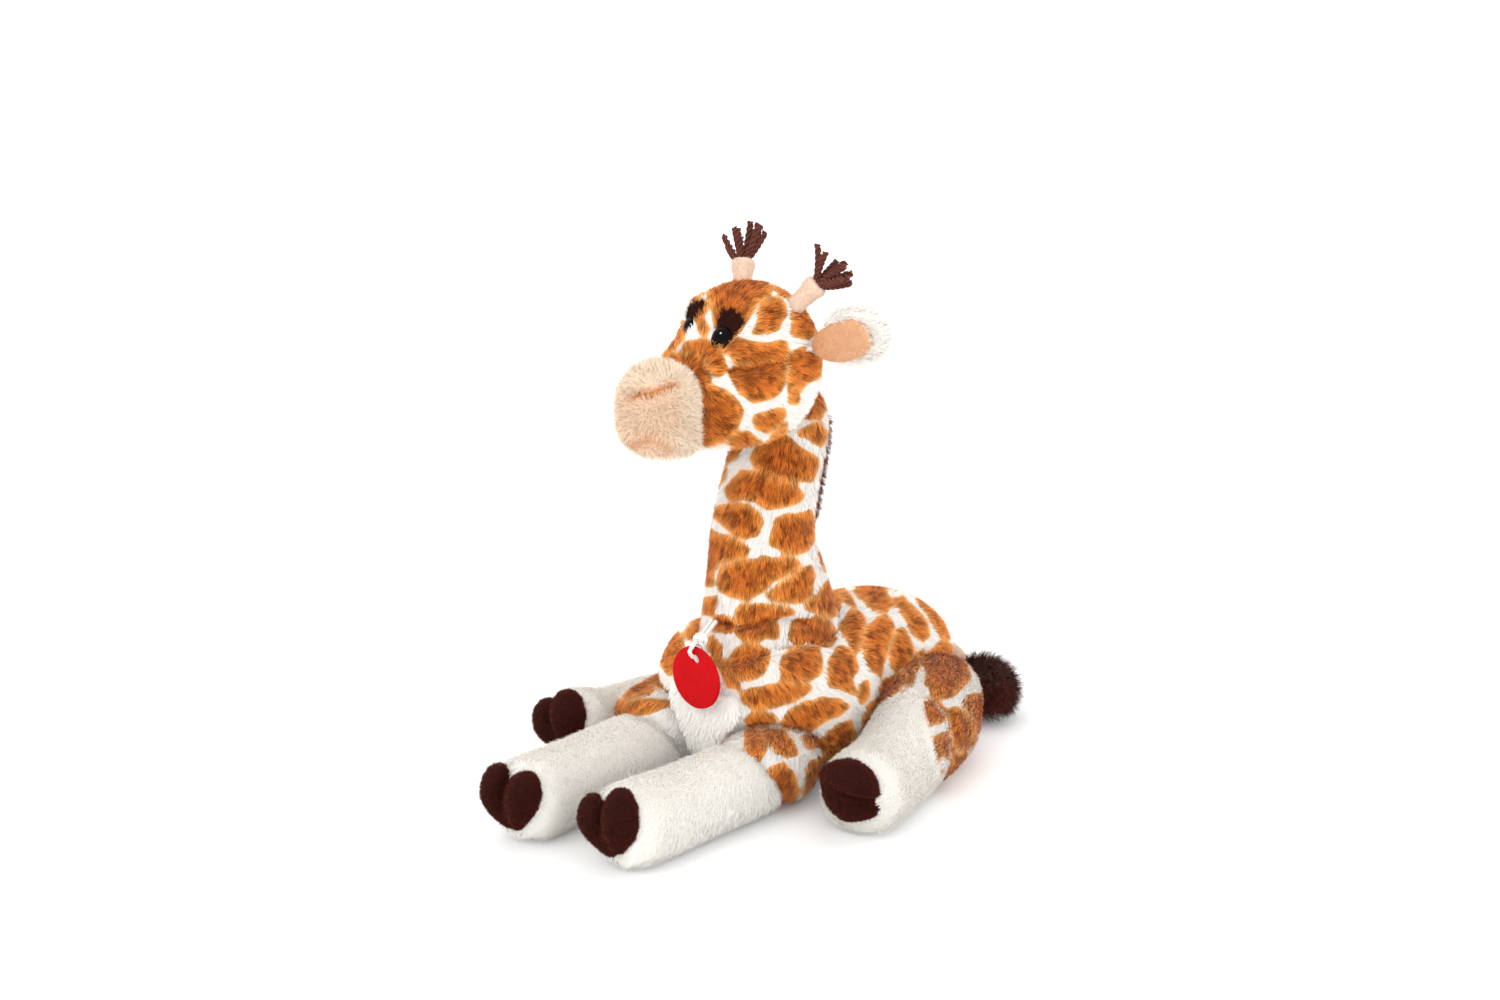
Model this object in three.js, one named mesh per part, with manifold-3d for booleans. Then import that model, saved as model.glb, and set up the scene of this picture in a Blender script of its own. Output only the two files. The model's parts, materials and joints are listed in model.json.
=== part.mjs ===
// A stuffed toy giraffe that lies on its belly with its front legs stretched out, 0.35 m tall.
// It faces -Y, its left side is +X, and the floor is Z = 0. Sizes are in millimetres.
import * as THREE from 'three';
import { mergeVertices } from 'three/addons/utils/BufferGeometryUtils.js';
import Module from 'manifold-3d';

const wasm = await Module();
wasm.setup();

// Driving sizes

const gap = 0.3; // clearance between two pieces that touch
const pressed = 0.5; // how far a form that lies on the floor is pressed flat
const ballGap = 2.2; // room round a ball end, so that the flats of a turned ball clear its socket
const headBallGap = 1.3; // the same in the head, which sits closer
const sweepGap = 0.7; // clearance of a piece that moves, at each place that its neighbour is hollowed for

const torso = {
  front: -97, rear: 110, frontRound: 42, rearRound: 52,
  chestAt: -46, chestWidth: 110, chestHeight: 97,
  rumpAt: 54, rumpWidth: 97, rumpHeight: 80,
};
const bellyPanel = { width: 50, top: 64, rear: 66, thick: 6 };

const neck = {
  baseY: -34, baseZ: 80, baseRadius: 33, baseDepth: 47, // half its width and half its depth
  flareY: -37, flareZ: 112, flareRadius: 31, flareDepth: 37,
  middleY: -40, middleZ: 148, middleRadius: 27.5,
  topY: -21, topZ: 205, topRadius: 25,
};
const mane = { width: 9, proud: 12, bottomZ: 138, middleZ: 175, topZ: 210, turn: -16 };

const head = {
  forward: 30, above: 40, // its middle, from the top of the neck's line
  turn: -10, // how far it looks to the toy's right, in degrees
  width: 81, backLength: 38, height: 91,
  browLength: 18, browWidth: 76, browTop: 42, browBottom: -45,
  bridgeLength: 33, bridgeWidth: 60, bridgeTop: 24, bridgeBottom: -43,
  snoutLength: 55, snoutWidth: 50, snoutTop: 12, snoutBottom: -38, snoutRound: 7,
};
const muzzle = { width: 52, length: 50, height: 56, forward: 63, drop: 16 };

const ear = {
  side: 34, back: 14, up: 11, // the way from the middle of the head to its root
  length: 50, width: 34, thick: 10, rootRadius: 6, rootSunk: 3, lowRadius: 8,
  liningWidth: 24, liningLength: 38, liningThick: 3,
};
const earLeft = { outward: 34, backward: 16, rise: 15 };
const earRight = { outward: 30, backward: 26, rise: -3 };

const ossicone = {
  side: 25, back: 14, up: 38, // the way from the middle of the head to its root
  length: 21, rootRadius: 5.5, waistRadius: 4.8, topRadius: 6.2,
  outward: 8.6, backward: 8.6, rise: 12.5,
};
const tuft = {
  strands: 8, strandRadius: 1.5, length: 19,
  spread: 42, lean: 14, // how far the strands fan out, and how far they lean apart
  plugRadius: 3.6, plugDepth: 3,
};

const eye = {
  side: 13.5, forward: 31, up: 22.5, // the way from the middle of the head to its dome
  diameter: 11, domeHeight: 4.5, rimThick: 1, shankDiameter: 4, shankLength: 11,
  washerDiameter: 12, washerThick: 1.6, washerDepth: 6,
};
const lash = { width: 13, height: 14, thick: 1.5, points: 3, shift: 7.5, reach: 15 };

const frontLeg = {
  shoulderX: 37, shoulderY: -70, shoulderZ: 23.5, shoulderRadius: 23.5,
  kneeY: -130, kneeRadius: 21.5,
  footRadius: 23.5, endRound: 9, sleeveTopY: -108, sleeveBottomY: -78,
};
const frontFootLeft = { x: 34, y: -206, roll: 14 };
const frontFootRight = { x: -33, y: -213, roll: -4 };

const hindLeg = {
  sideX: 44, // the flat face where the thigh is sewn to the flank
  hipX: 46, hipY: 42, hipZ: 32, thighRadius: 31, hipRound: 16, recessRadius: 46, recessDepth: 40,
  bulgeX: 67, bulgeY: 33,
  kneeY: -22, kneeRadius: 24.5, endRound: 9,
  sleeveTopY: 6, sleeveBottomY: -16,
};
const hindFootLeft = { kneeX: 88, x: 106, y: -88, radius: 25, ankleRadius: 23, toeOut: 30, roll: 4 };
const hindFootRight = { kneeX: 86, x: -90, y: -112, radius: 22.5, ankleRadius: 20, toeOut: 8, roll: 0 };

const hoof = {
  width: 34, toeWidth: 21, depth: 24, height: 36, rise: 3, proud: 9,
  toeSplay: 15, tilt: 14, // how far the toes lean together below, and how far their tops lean forward
};

const tail = { rootZ: 42, sunk: 10, radius: 5, rootRadius: 7, bendX: 12, behind: 12, drop: 12 };
const tailTuft = { length: 44, width: 29, x: 50, behind: -1, z: 20, stemRound: 10, tipRound: 12 };

const tag = {
  diameter: 36, thick: 2, holeDiameter: 5, holeInset: 7,
  x: 5, y: -103.5, z: 75, turn: -4,
  cordDiameter: 1.8, cordGap: 0.5, cordX: -4, cordTop: 99,
  knotZ: 96.5, knotWidth: 7, knotHeight: 5.5,
};

// Joints: a point on each axis, its direction, and places in its range, in degrees, for which the
// neighbour is hollowed out. Between them the clearance is enough.

const joints = {
  headNod: {
    pivot: [0, neck.topY, neck.topZ], axis: [Math.cos(rad(head.turn)), Math.sin(rad(head.turn)), 0],
    places: [-12, 1.5, 15],
  },
  neckSway: { pivot: [0, neck.baseY, neck.baseZ], axis: [0, 1, 0], places: [-10, 10] },
  frontSwing: { axis: [1, 0, 0], places: [-20, -7, 5] },
  earFlap: { places: [-15, 15] },
  tailSwing: { pivot: [0, torso.rear - tail.sunk, tail.rootZ], axis: [0, 0, 1], places: [-15, 7.5, 30] },
};

function rad(degrees) {
  return THREE.MathUtils.degToRad(degrees);
}

// Materials

function cloth(color, roughness = 0.95) {
  return new THREE.MeshStandardMaterial({ color, roughness, metalness: 0 });
}
const coat = cloth(0xc87832);
const whitePlush = cloth(0xf3efe6);
const longPlush = cloth(0xf0d8bb);
const tanVelour = cloth(0xe5ae7c);
const brownVelour = cloth(0x3d1a12);
const brownYarn = cloth(0x4a2a22);
const manePlush = cloth(0x5a2d22);
const blackGloss = cloth(0x0b0a0c, 0.08);
const clearPlastic = cloth(0xe8e8e6, 0.5);
const redFelt = cloth(0xcc1420);
const whiteCord = cloth(0xf6f4ef);

// Solids: closed geometries become solids, which are joined and cut, and come back as geometries

function toSolid(geometry) {
  const bare = geometry.clone();
  bare.deleteAttribute('normal');
  bare.deleteAttribute('uv');
  const merged = mergeVertices(bare, 1e-4);
  return new wasm.Manifold(new wasm.Mesh({
    numProp: 3,
    vertProperties: new Float32Array(merged.attributes.position.array),
    triVerts: new Uint32Array(merged.index.array),
  }));
}

function toGeometry(solid) {
  const mesh = solid.getMesh();
  const geometry = new THREE.BufferGeometry();
  geometry.setAttribute('position', new THREE.BufferAttribute(new Float32Array(mesh.vertProperties), 3));
  geometry.setIndex(new THREE.BufferAttribute(new Uint32Array(mesh.triVerts), 1));
  geometry.computeVertexNormals();
  return geometry;
}

const vec = (x, y, z) => new THREE.Vector3(x, y, z);

// A block that fills everything on the side of a plane that its normal points to.
function halfSpace(point, normal) {
  const reach = 600;
  const block = new THREE.BoxGeometry(reach, reach, reach);
  block.translate(0, 0, reach / 2);
  const turn = new THREE.Quaternion().setFromUnitVectors(vec(0, 0, 1), normal.clone().normalize());
  block.applyMatrix4(new THREE.Matrix4().compose(point, turn, vec(1, 1, 1)));
  return toSolid(block);
}

const underFloor = halfSpace(vec(0, 0, 0), vec(0, 0, -1));

// The geometry turned about a joint's axis.
function turned(geometry, joint, degrees) {
  const pivot = vec(...joint.pivot);
  const spin = new THREE.Matrix4().makeRotationAxis(vec(...joint.axis).normalize(), rad(degrees));
  const matrix = new THREE.Matrix4().makeTranslation(pivot)
    .multiply(spin)
    .multiply(new THREE.Matrix4().makeTranslation(pivot.clone().negate()));
  return geometry.clone().applyMatrix4(matrix);
}

// A solid less the room that a ball-ended neighbour needs at each of a joint's places.
// depth is half the ball's depth, and way is -1 where the solid itself is what the joint moves.
function carved(solid, neighbour, joint, { radius, depth = radius, clear = ballGap, way = 1 }) {
  const width = 2 * (radius + clear);
  let room = toSolid(ball(width, 2 * (depth + clear), width, 16, 10).translate(...joint.pivot));
  for (const degrees of joint.places) room = room.add(toSolid(turned(neighbour, joint, way * degrees)));
  return solid.subtract(room);
}

// A stuffed form: rings of points along a smooth line, with a rounded cap at each end.
// across and tall are its half widths at the line's points, and grow swells all of it.
// The rings stand square to the line, or to facing where it is given.
function stuffed(form, grow = 0) {
  const { line, across, tall = across, sides = 16, rings = 5, capRings = 4, square = 2 } = form;
  const { startRound = across[0], endRound = across.at(-1), up = vec(0, 0, 1), facing } = form;
  const path = new THREE.CatmullRomCurve3(line, false, 'catmullrom', 0.5);
  const halves = across.map((half, i) => vec(half, tall[i], 0));
  const sizes = new THREE.CatmullRomCurve3(halves, false, 'catmullrom', 0.5);
  const long = path.getLength();
  const start = startRound + grow;
  const end = endRound + grow;
  const places = [];
  for (let i = 1; i <= capRings; i++) {
    places.push(-grow + start * (1 - Math.cos((Math.PI / 2) * (i / capRings))));
  }
  for (let i = 1; i <= rings; i++) {
    places.push(startRound + ((long - startRound - endRound) * i) / (rings + 1));
  }
  for (let i = capRings; i >= 1; i--) {
    places.push(long + grow - end * (1 - Math.cos((Math.PI / 2) * (i / capRings))));
  }
  const frameAt = (place) => {
    const u = THREE.MathUtils.clamp(place / long, 0, 1);
    const t = path.getUtoTmapping(u);
    const along = facing ?? path.getTangent(t);
    const centre = path.getPoint(t).addScaledVector(along, place - u * long);
    const side = along.clone().cross(up).normalize();
    return { centre, along, side, top: side.clone().cross(along), size: sizes.getPoint(t) };
  };
  const positions = [];
  for (const place of places) {
    const { centre, side, top, size } = frameAt(place);
    let round = 1;
    if (place < startRound) round = Math.sqrt(Math.max(0, 1 - ((startRound - place) / start) ** 2));
    if (place > long - endRound) round = Math.sqrt(Math.max(0, 1 - ((place - long + endRound) / end) ** 2));
    for (let j = 0; j < sides; j++) {
      const angle = (2 * Math.PI * j) / sides;
      const c = Math.sign(Math.cos(angle)) * Math.abs(Math.cos(angle)) ** (2 / square);
      const s = Math.sign(Math.sin(angle)) * Math.abs(Math.sin(angle)) ** (2 / square);
      const point = centre.clone()
        .addScaledVector(side, round * (size.x + grow) * c)
        .addScaledVector(top, round * (size.y + grow) * s);
      positions.push(point.x, point.y, point.z);
    }
  }
  const first = frameAt(-grow).centre;
  const last = frameAt(long + grow).centre;
  positions.push(first.x, first.y, first.z, last.x, last.y, last.z);
  const firstPole = places.length * sides;
  const lastPole = firstPole + 1;
  const index = [];
  for (let i = 0; i + 1 < places.length; i++) {
    for (let j = 0; j < sides; j++) {
      const a = i * sides + j;
      const b = i * sides + ((j + 1) % sides);
      index.push(a, a + sides, b, b, a + sides, b + sides);
    }
  }
  for (let j = 0; j < sides; j++) {
    const next = (j + 1) % sides;
    index.push(firstPole, j, next);
    index.push(lastPole, (places.length - 1) * sides + next, (places.length - 1) * sides + j);
  }
  const geometry = new THREE.BufferGeometry();
  geometry.setAttribute('position', new THREE.Float32BufferAttribute(positions, 3));
  geometry.setIndex(index);
  return geometry;
}

// A ball stretched to its widths.
function ball(width, depth, height, sides = 16, rings = 10) {
  return new THREE.SphereGeometry(0.5, sides, rings).rotateX(Math.PI / 2).scale(width, depth, height);
}

const giraffe = new THREE.Group();
giraffe.name = 'plush_giraffe';

function addPiece(name, solid, material) {
  const mesh = new THREE.Mesh(toGeometry(solid), material);
  mesh.name = name;
  giraffe.add(mesh);
}

// Torso: chest and rump swell from one stuffed form that lies flat on the floor

function torsoForm(grow = 0) {
  const chest = torso.chestHeight + pressed;
  const rump = torso.rumpHeight + pressed;
  const middleY = (torso.chestAt + torso.rumpAt) / 2;
  const line = [
    vec(0, torso.front, chest / 2 - pressed),
    vec(0, torso.chestAt, chest / 2 - pressed),
    vec(0, middleY, (chest + rump) / 4 - pressed),
    vec(0, torso.rumpAt, rump / 2 - pressed),
    vec(0, torso.rear, rump / 2 - pressed),
  ];
  const widths = [torso.chestWidth, torso.chestWidth, (torso.chestWidth + torso.rumpWidth) / 2];
  widths.push(torso.rumpWidth, torso.rumpWidth);
  return stuffed({
    line,
    across: widths.map((width) => width / 2),
    tall: [chest / 2, chest / 2, (chest + rump) / 4, rump / 2, rump / 2],
    startRound: torso.frontRound, endRound: torso.rearRound,
    sides: 20, rings: 4, capRings: 4, square: 2.2, facing: vec(0, 1, 0),
  }, grow);
}

// Where a line that starts at a point and runs along a direction meets a form.
function meets(form, from, along) {
  const skin = new THREE.Mesh(form, new THREE.MeshStandardMaterial({ side: THREE.DoubleSide }));
  return new THREE.Raycaster(from, along.clone().normalize()).intersectObject(skin)[0].point;
}

// Neck: it stands on a ball end in the torso and carries the head on another

const neckTop = vec(0, neck.topY, neck.topZ);
const neckBase = vec(0, neck.baseY, neck.baseZ);
const neckMiddle = vec(0, neck.middleY, neck.middleZ);
const neckRise = neckTop.clone().sub(neckMiddle).normalize();
const neckLine = [
  neckBase.clone().add(vec(0, 0, -neck.baseRadius)),
  neckBase,
  vec(0, neck.flareY, neck.flareZ),
  neckMiddle,
  neckTop,
  neckTop.clone().addScaledVector(neckRise, neck.topRadius),
];

function neckForm(grow = 0) {
  const upper = [neck.middleRadius, neck.topRadius, neck.topRadius];
  return stuffed({
    line: neckLine,
    across: [neck.baseRadius, neck.baseRadius, neck.flareRadius, ...upper],
    tall: [neck.baseDepth, neck.baseDepth, neck.flareDepth, ...upper],
    sides: 16, rings: 5, capRings: 3, up: vec(0, 1, 0),
  }, grow);
}

// The mane stands on the back of the neck, from its middle line out.
function maneForm() {
  const back = vec(-Math.sin(rad(mane.turn)), Math.cos(rad(mane.turn)), 0);
  const form = neckForm();
  const heights = [mane.bottomZ, (mane.bottomZ + mane.middleZ) / 2, mane.middleZ, mane.topZ];
  const line = heights.map((z) => {
    const low = z < neck.middleZ;
    const [from, to] = low ? [neckBase, neckMiddle] : [neckMiddle, neckTop];
    const inside = from.clone().lerp(to, (z - from.z) / (to.z - from.z));
    return meets(form, inside, back);
  });
  return stuffed({
    line,
    across: line.map(() => mane.width / 2),
    tall: line.map(() => mane.proud),
    startRound: mane.proud, endRound: mane.proud,
    sides: 10, rings: 4, capRings: 2, up: back,
  });
}

// Head: a round skull that runs forward into a snout, turned a little to the toy's right

const headPlace = new THREE.Matrix4().makeTranslation(0, neck.topY - head.forward, neck.topZ + head.above)
  .multiply(new THREE.Matrix4().makeRotationZ(rad(head.turn)));
const onHead = (geometry) => geometry.clone().applyMatrix4(headPlace);
const onHeadSolid = (solid) => toSolid(onHead(toGeometry(solid)));

function headForm(grow = 0) {
  const middles = [
    [head.browLength, head.browTop, head.browBottom],
    [head.bridgeLength, head.bridgeTop, head.bridgeBottom],
    [head.snoutLength, head.snoutTop, head.snoutBottom],
  ];
  const ahead = middles.map(([y, top, bottom]) => vec(0, -y, (top + bottom) / 2));
  const widths = [head.width, head.width, head.browWidth, head.bridgeWidth, head.snoutWidth];
  return stuffed({
    line: [vec(0, head.backLength, 0), vec(0, 0, 0), ...ahead],
    across: widths.map((width) => width / 2),
    tall: [head.height / 2, head.height / 2, ...middles.map(([, top, bottom]) => (top - bottom) / 2)],
    startRound: head.backLength, endRound: head.snoutRound,
    sides: 20, rings: 5, capRings: 4, facing: vec(0, -1, 0),
  }, grow);
}

// The place on the head's skin in a direction from its middle, less how deep a piece is sunk.
function headSeat(way, sunk = 0) {
  const point = meets(headForm(), vec(0, 0, 0), way);
  return point.addScaledVector(way.clone().normalize(), -sunk);
}

function muzzleForm(grow = 0) {
  const { width, length, height, forward, drop } = muzzle;
  return stuffed({
    line: [-length / 2, 0, length / 2].map((y) => vec(0, -forward - y, -drop)),
    across: [width / 2, width / 2, width / 2],
    tall: [height / 2, height / 2, height / 2],
    startRound: length / 2, endRound: length / 2,
    sides: 16, rings: 0, capRings: 5, square: 2.4,
  }, grow);
}

// Ears: a fur blade with a velour lining in its hollow front, on a narrow sewn root

function earFrame(side, set) {
  const out = vec(side * set.outward, set.backward, set.rise).normalize();
  const front = vec(side * 0.45, -1, -0.1);
  const across = out.clone().cross(front).normalize();
  const facing = across.clone().cross(out).normalize();
  const root = headSeat(vec(side * ear.side, ear.back, ear.up), ear.rootSunk);
  return { out, across, facing, root };
}

function earPoints(frame, places) {
  return places.map(([along, ahead]) => frame.root.clone()
    .addScaledVector(frame.out, along)
    .addScaledVector(frame.facing, ahead));
}

function earForm(frame, grow = 0) {
  const bow = ear.thick / 3;
  const places = [[-ear.rootRadius, 0], [ear.rootRadius, 0], [ear.length * 0.5, -bow], [ear.length, 0]];
  return stuffed({
    line: earPoints(frame, places),
    across: [ear.rootRadius, ear.lowRadius, ear.width / 2, ear.width * 0.3],
    tall: [ear.rootRadius, ear.rootRadius, ear.thick / 2, ear.thick * 0.35],
    startRound: ear.rootRadius, endRound: ear.width * 0.3,
    sides: 10, rings: 4, capRings: 2, up: frame.facing,
  }, grow);
}

function earLiningForm(frame, grow = 0) {
  const middle = ear.length * 0.52;
  const ahead = ear.thick / 2 - ear.thick / 3;
  const half = ear.liningLength / 2;
  return stuffed({
    line: earPoints(frame, [[middle - half, ahead - 1], [middle, ahead], [middle + half, ahead + 1]]),
    across: [ear.liningWidth * 0.35, ear.liningWidth / 2, ear.liningWidth * 0.35],
    tall: [ear.liningThick, ear.liningThick, ear.liningThick],
    startRound: ear.liningWidth * 0.35, endRound: ear.liningWidth * 0.35,
    sides: 10, rings: 2, capRings: 2, up: frame.facing,
  }, grow);
}

// Ossicones: velour stems with a fan of yarn in the end

function ossiconeFrame(side) {
  const out = vec(side * ossicone.outward, ossicone.backward, ossicone.rise).normalize();
  const root = headSeat(vec(side * ossicone.side, ossicone.back, ossicone.up));
  const across = vec(0, 1, 0).cross(out).normalize();
  const seat = root.clone().addScaledVector(out, ossicone.length);
  return { out, root, seat, across, away: out.clone().cross(across) };
}

function ossiconeForm(frame, grow = 0) {
  const sink = ossicone.rootRadius;
  const points = [-sink, ossicone.length * 0.45, ossicone.length]
    .map((along) => frame.root.clone().addScaledVector(frame.out, along));
  return stuffed({
    line: points,
    across: [ossicone.rootRadius, ossicone.waistRadius, ossicone.topRadius],
    startRound: sink, endRound: 3,
    sides: 12, rings: 3, capRings: 2, up: frame.across,
  }, grow);
}

// A round plug across the end of the stem; the yarn's plug sits in the bore that it leaves.
function plugSolid(frame, radius, depth) {
  const plug = new THREE.CylinderGeometry(radius, radius, 2 * depth, 12).rotateX(Math.PI / 2);
  const turn = new THREE.Quaternion().setFromUnitVectors(vec(0, 0, 1), frame.out);
  return toSolid(plug.applyMatrix4(new THREE.Matrix4().compose(frame.seat, turn, vec(1, 1, 1))));
}

// One fan of yarn: strands that splay from the plug, every other one leaning back.
function tuftSolid(frame) {
  let solid = plugSolid(frame, tuft.plugRadius, tuft.plugDepth);
  for (let i = 0; i < tuft.strands; i++) {
    const share = tuft.strands > 1 ? i / (tuft.strands - 1) - 0.5 : 0;
    const fan = rad(2 * share * tuft.spread);
    const lean = rad(i % 2 ? tuft.lean : -tuft.lean);
    const way = frame.out.clone().multiplyScalar(Math.cos(fan) * Math.cos(lean))
      .addScaledVector(frame.across, Math.sin(fan))
      .addScaledVector(frame.away, Math.cos(fan) * Math.sin(lean));
    const foot = frame.seat.clone()
      .addScaledVector(frame.across, share * tuft.plugRadius)
      .addScaledVector(frame.away, (i % 2 ? 1 : -1) * tuft.plugRadius * 0.3);
    const long = tuft.length * (1 - 0.04 * ((i * 3) % 4));
    const strand = stuffed({
      line: [0, long / 2, long].map((along) => foot.clone().addScaledVector(way, along)),
      across: [tuft.strandRadius * 0.9, tuft.strandRadius, tuft.strandRadius],
      startRound: 1, endRound: 1.2, sides: 4, rings: 1, capRings: 1, up: frame.away,
    });
    solid = solid.add(toSolid(strand));
  }
  return solid;
}

// Eyes: a gloss dome with a shank through the skin, locked by a washer inside the head

function eyeFrame(side) {
  const way = vec(side * eye.side, -eye.forward, eye.up);
  const out = vec(side * 0.5, -1, 0.3).normalize();
  const turn = new THREE.Quaternion().setFromUnitVectors(vec(0, 0, 1), out);
  return { centre: headSeat(way), turn };
}

function placeOn(frame, geometry) {
  return geometry.applyMatrix4(new THREE.Matrix4().compose(frame.centre, frame.turn, vec(1, 1, 1)));
}

// A turned piece about Z from an outline of radius and height pairs.
function lathe(outline, sides) {
  const points = outline.map(([r, z]) => new THREE.Vector2(r, z));
  return new THREE.LatheGeometry(points, sides).rotateX(Math.PI / 2);
}

function eyeForm(frame, grow = 0) {
  const radius = eye.diameter / 2 + grow;
  const shank = eye.shankDiameter / 2 + grow;
  const arcs = 4;
  const outline = [
    [0, -eye.shankLength - grow], [shank, -eye.shankLength - grow],
    [shank, -eye.rimThick - grow], [radius, -eye.rimThick - grow],
  ];
  for (let i = 0; i < arcs; i++) {
    const angle = (Math.PI / 2) * (i / arcs);
    outline.push([radius * Math.cos(angle), (eye.domeHeight + grow) * Math.sin(angle)]);
  }
  outline.push([0, eye.domeHeight + grow]);
  return placeOn(frame, lathe(outline, 14));
}

function washerForm(frame, grow = 0) {
  const bore = eye.shankDiameter / 2 + gap;
  const outer = eye.washerDiameter / 2 + grow;
  const top = -eye.washerDepth + grow;
  const bottom = -eye.washerDepth - eye.washerThick - grow;
  if (grow > 0) return placeOn(frame, lathe([[0, bottom], [outer, bottom], [outer, top], [0, top]], 14));
  const ring = [[bore, bottom], [outer, bottom], [outer, top], [bore, top], [bore, bottom]];
  return placeOn(frame, lathe(ring, 14));
}

// The lash patch: felt with scalloped points above the eye, which follows the skin of the head.
function lashPrism(frame) {
  const half = lash.width / 2;
  const foot = -lash.height * 0.45;
  const shoulder = lash.height * 0.3;
  const outline = new THREE.Shape();
  outline.moveTo(-half * 0.8, foot);
  outline.lineTo(half * 0.8, foot);
  outline.lineTo(half, shoulder);
  for (let i = 0; i < lash.points; i++) {
    const from = half - (lash.width * i) / lash.points;
    const to = half - (lash.width * (i + 1)) / lash.points;
    outline.lineTo((from + to) / 2, lash.height * 0.55);
    outline.lineTo(to, shoulder);
  }
  const prism = new THREE.ExtrudeGeometry(outline, { depth: 2 * lash.reach, bevelEnabled: false });
  return placeOn(frame, prism.translate(0, lash.shift, -lash.reach));
}

// Legs: stuffed tubes that lie on the floor, each with a spotted sleeve, a white end and a hoof

function frontLegForm(side, foot, grow = 0) {
  const { shoulderX, shoulderY, shoulderZ, shoulderRadius } = frontLeg;
  const { kneeY, kneeRadius, footRadius } = frontLeg;
  const shoulder = vec(side * shoulderX, shoulderY, shoulderZ - pressed);
  const share = (kneeY - shoulderY) / (foot.y - shoulderY);
  const knee = vec(shoulder.x + (foot.x - shoulder.x) * share, kneeY, kneeRadius - pressed);
  const ankle = vec(foot.x, foot.y, footRadius - pressed);
  return stuffed({
    line: [shoulder.clone().add(vec(0, shoulderRadius, 0)), shoulder, knee, ankle],
    across: [shoulderRadius, shoulderRadius, kneeRadius, footRadius],
    startRound: shoulderRadius, endRound: frontLeg.endRound,
    sides: 14, rings: 2, capRings: 3,
  }, grow);
}

function hindLegForm(side, foot, grow = 0) {
  const { hipX, hipY, hipZ, thighRadius, bulgeX, bulgeY, kneeY, kneeRadius } = hindLeg;
  const hip = vec(side * hipX, hipY, hipZ);
  const bulge = vec(side * bulgeX, bulgeY, thighRadius - pressed);
  const knee = vec(side * foot.kneeX, kneeY, kneeRadius - pressed);
  const ankle = vec(side * foot.kneeX, kneeY, 0).lerp(vec(foot.x, foot.y, 0), 0.55);
  ankle.z = foot.ankleRadius - pressed;
  const end = vec(foot.x, foot.y, foot.radius - pressed);
  return stuffed({
    line: [hip, bulge, knee, ankle, end],
    across: [thighRadius, thighRadius, kneeRadius, foot.ankleRadius, foot.radius],
    startRound: hindLeg.hipRound, endRound: hindLeg.endRound,
    sides: 14, rings: 5, capRings: 3,
  }, grow);
}

// Two half spaces that split a leg where its sleeve is sewn to its white end, a gap apart.
function seamSides(top, bottom, along) {
  const level = vec(-along.y, along.x, 0);
  const back = level.cross(top.clone().sub(bottom)).normalize();
  if (back.dot(along) > 0) back.negate();
  return {
    behind: halfSpace(top.clone().addScaledVector(back, gap / 2), back),
    ahead: halfSpace(top.clone().addScaledVector(back, -gap / 2), back.clone().negate()),
  };
}

// The hoof: two stuffed toes side by side over the end of the foot, with a cleft between their tops.
function hoofSolid(end, out, roll) {
  const side = out.clone().cross(vec(0, 0, 1)).normalize();
  const centre = end.clone().addScaledVector(out, hoof.proud - hoof.depth / 2);
  centre.z += hoof.rise;
  const frame = new THREE.Matrix4().makeBasis(side, out, vec(0, 0, 1)).setPosition(centre);
  const toes = [-1, 1].map((way) => ball(hoof.toeWidth, hoof.depth, hoof.height, 10, 7)
    .rotateY(rad(way * hoof.toeSplay))
    .translate((way * (hoof.width - hoof.toeWidth)) / 2, 0, 0)
    .rotateX(rad(-hoof.tilt))
    .rotateY(rad(roll))
    .applyMatrix4(frame));
  return toSolid(toes[0]).add(toSolid(toes[1])).subtract(underFloor);
}

// Tail: a velour stem that curls round to the toy's left, with a tuft of long fur on its end

const tailRoot = vec(0, torso.rear - tail.sunk, tail.rootZ);
const tuftWay = vec(1, -0.55, 0.05).normalize();
const tuftMiddle = vec(tailTuft.x, torso.rear + tailTuft.behind, tailTuft.z);

function tailForm(grow = 0) {
  const end = tuftMiddle.clone().addScaledVector(tuftWay, -tailTuft.length * 0.35);
  return stuffed({
    line: [
      tailRoot.clone().add(vec(0, -tail.rootRadius, 0)),
      tailRoot,
      vec(tail.bendX, torso.rear + tail.behind, tail.rootZ - tail.drop),
      end.clone().addScaledVector(tuftWay, -tail.radius * 1.5),
      end,
    ],
    across: [tail.rootRadius, tail.rootRadius, tail.radius, tail.radius, tail.radius],
    startRound: tail.rootRadius, endRound: 3,
    sides: 10, rings: 6, capRings: 3,
  }, grow);
}

function tailTuftForm(grow = 0) {
  const half = tailTuft.length / 2;
  return stuffed({
    line: [-half, 0, half].map((along) => tuftMiddle.clone().addScaledVector(tuftWay, along)),
    across: [tailTuft.width * 0.36, tailTuft.width / 2, tailTuft.width * 0.34],
    startRound: tailTuft.stemRound, endRound: tailTuft.tipRound,
    sides: 12, rings: 3, capRings: 3,
  }, grow);
}

// Tag: a felt disc that hangs from a knotted loop of cord, which comes out of the neck seam

const tagRadius = tag.diameter / 2;
const holeZ = tag.z + tagRadius - tag.holeInset;
const throat = meets(neckForm(), vec(tag.cordX, neck.middleY, tag.cordTop), vec(0, -1, 0));
const cordRadius = tag.cordDiameter / 2;
const cordTop = throat.clone().add(vec(0, -gap - cordRadius, 0));
const knotMiddle = vec(tag.x, tag.y + 3.5, tag.knotZ);

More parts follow.
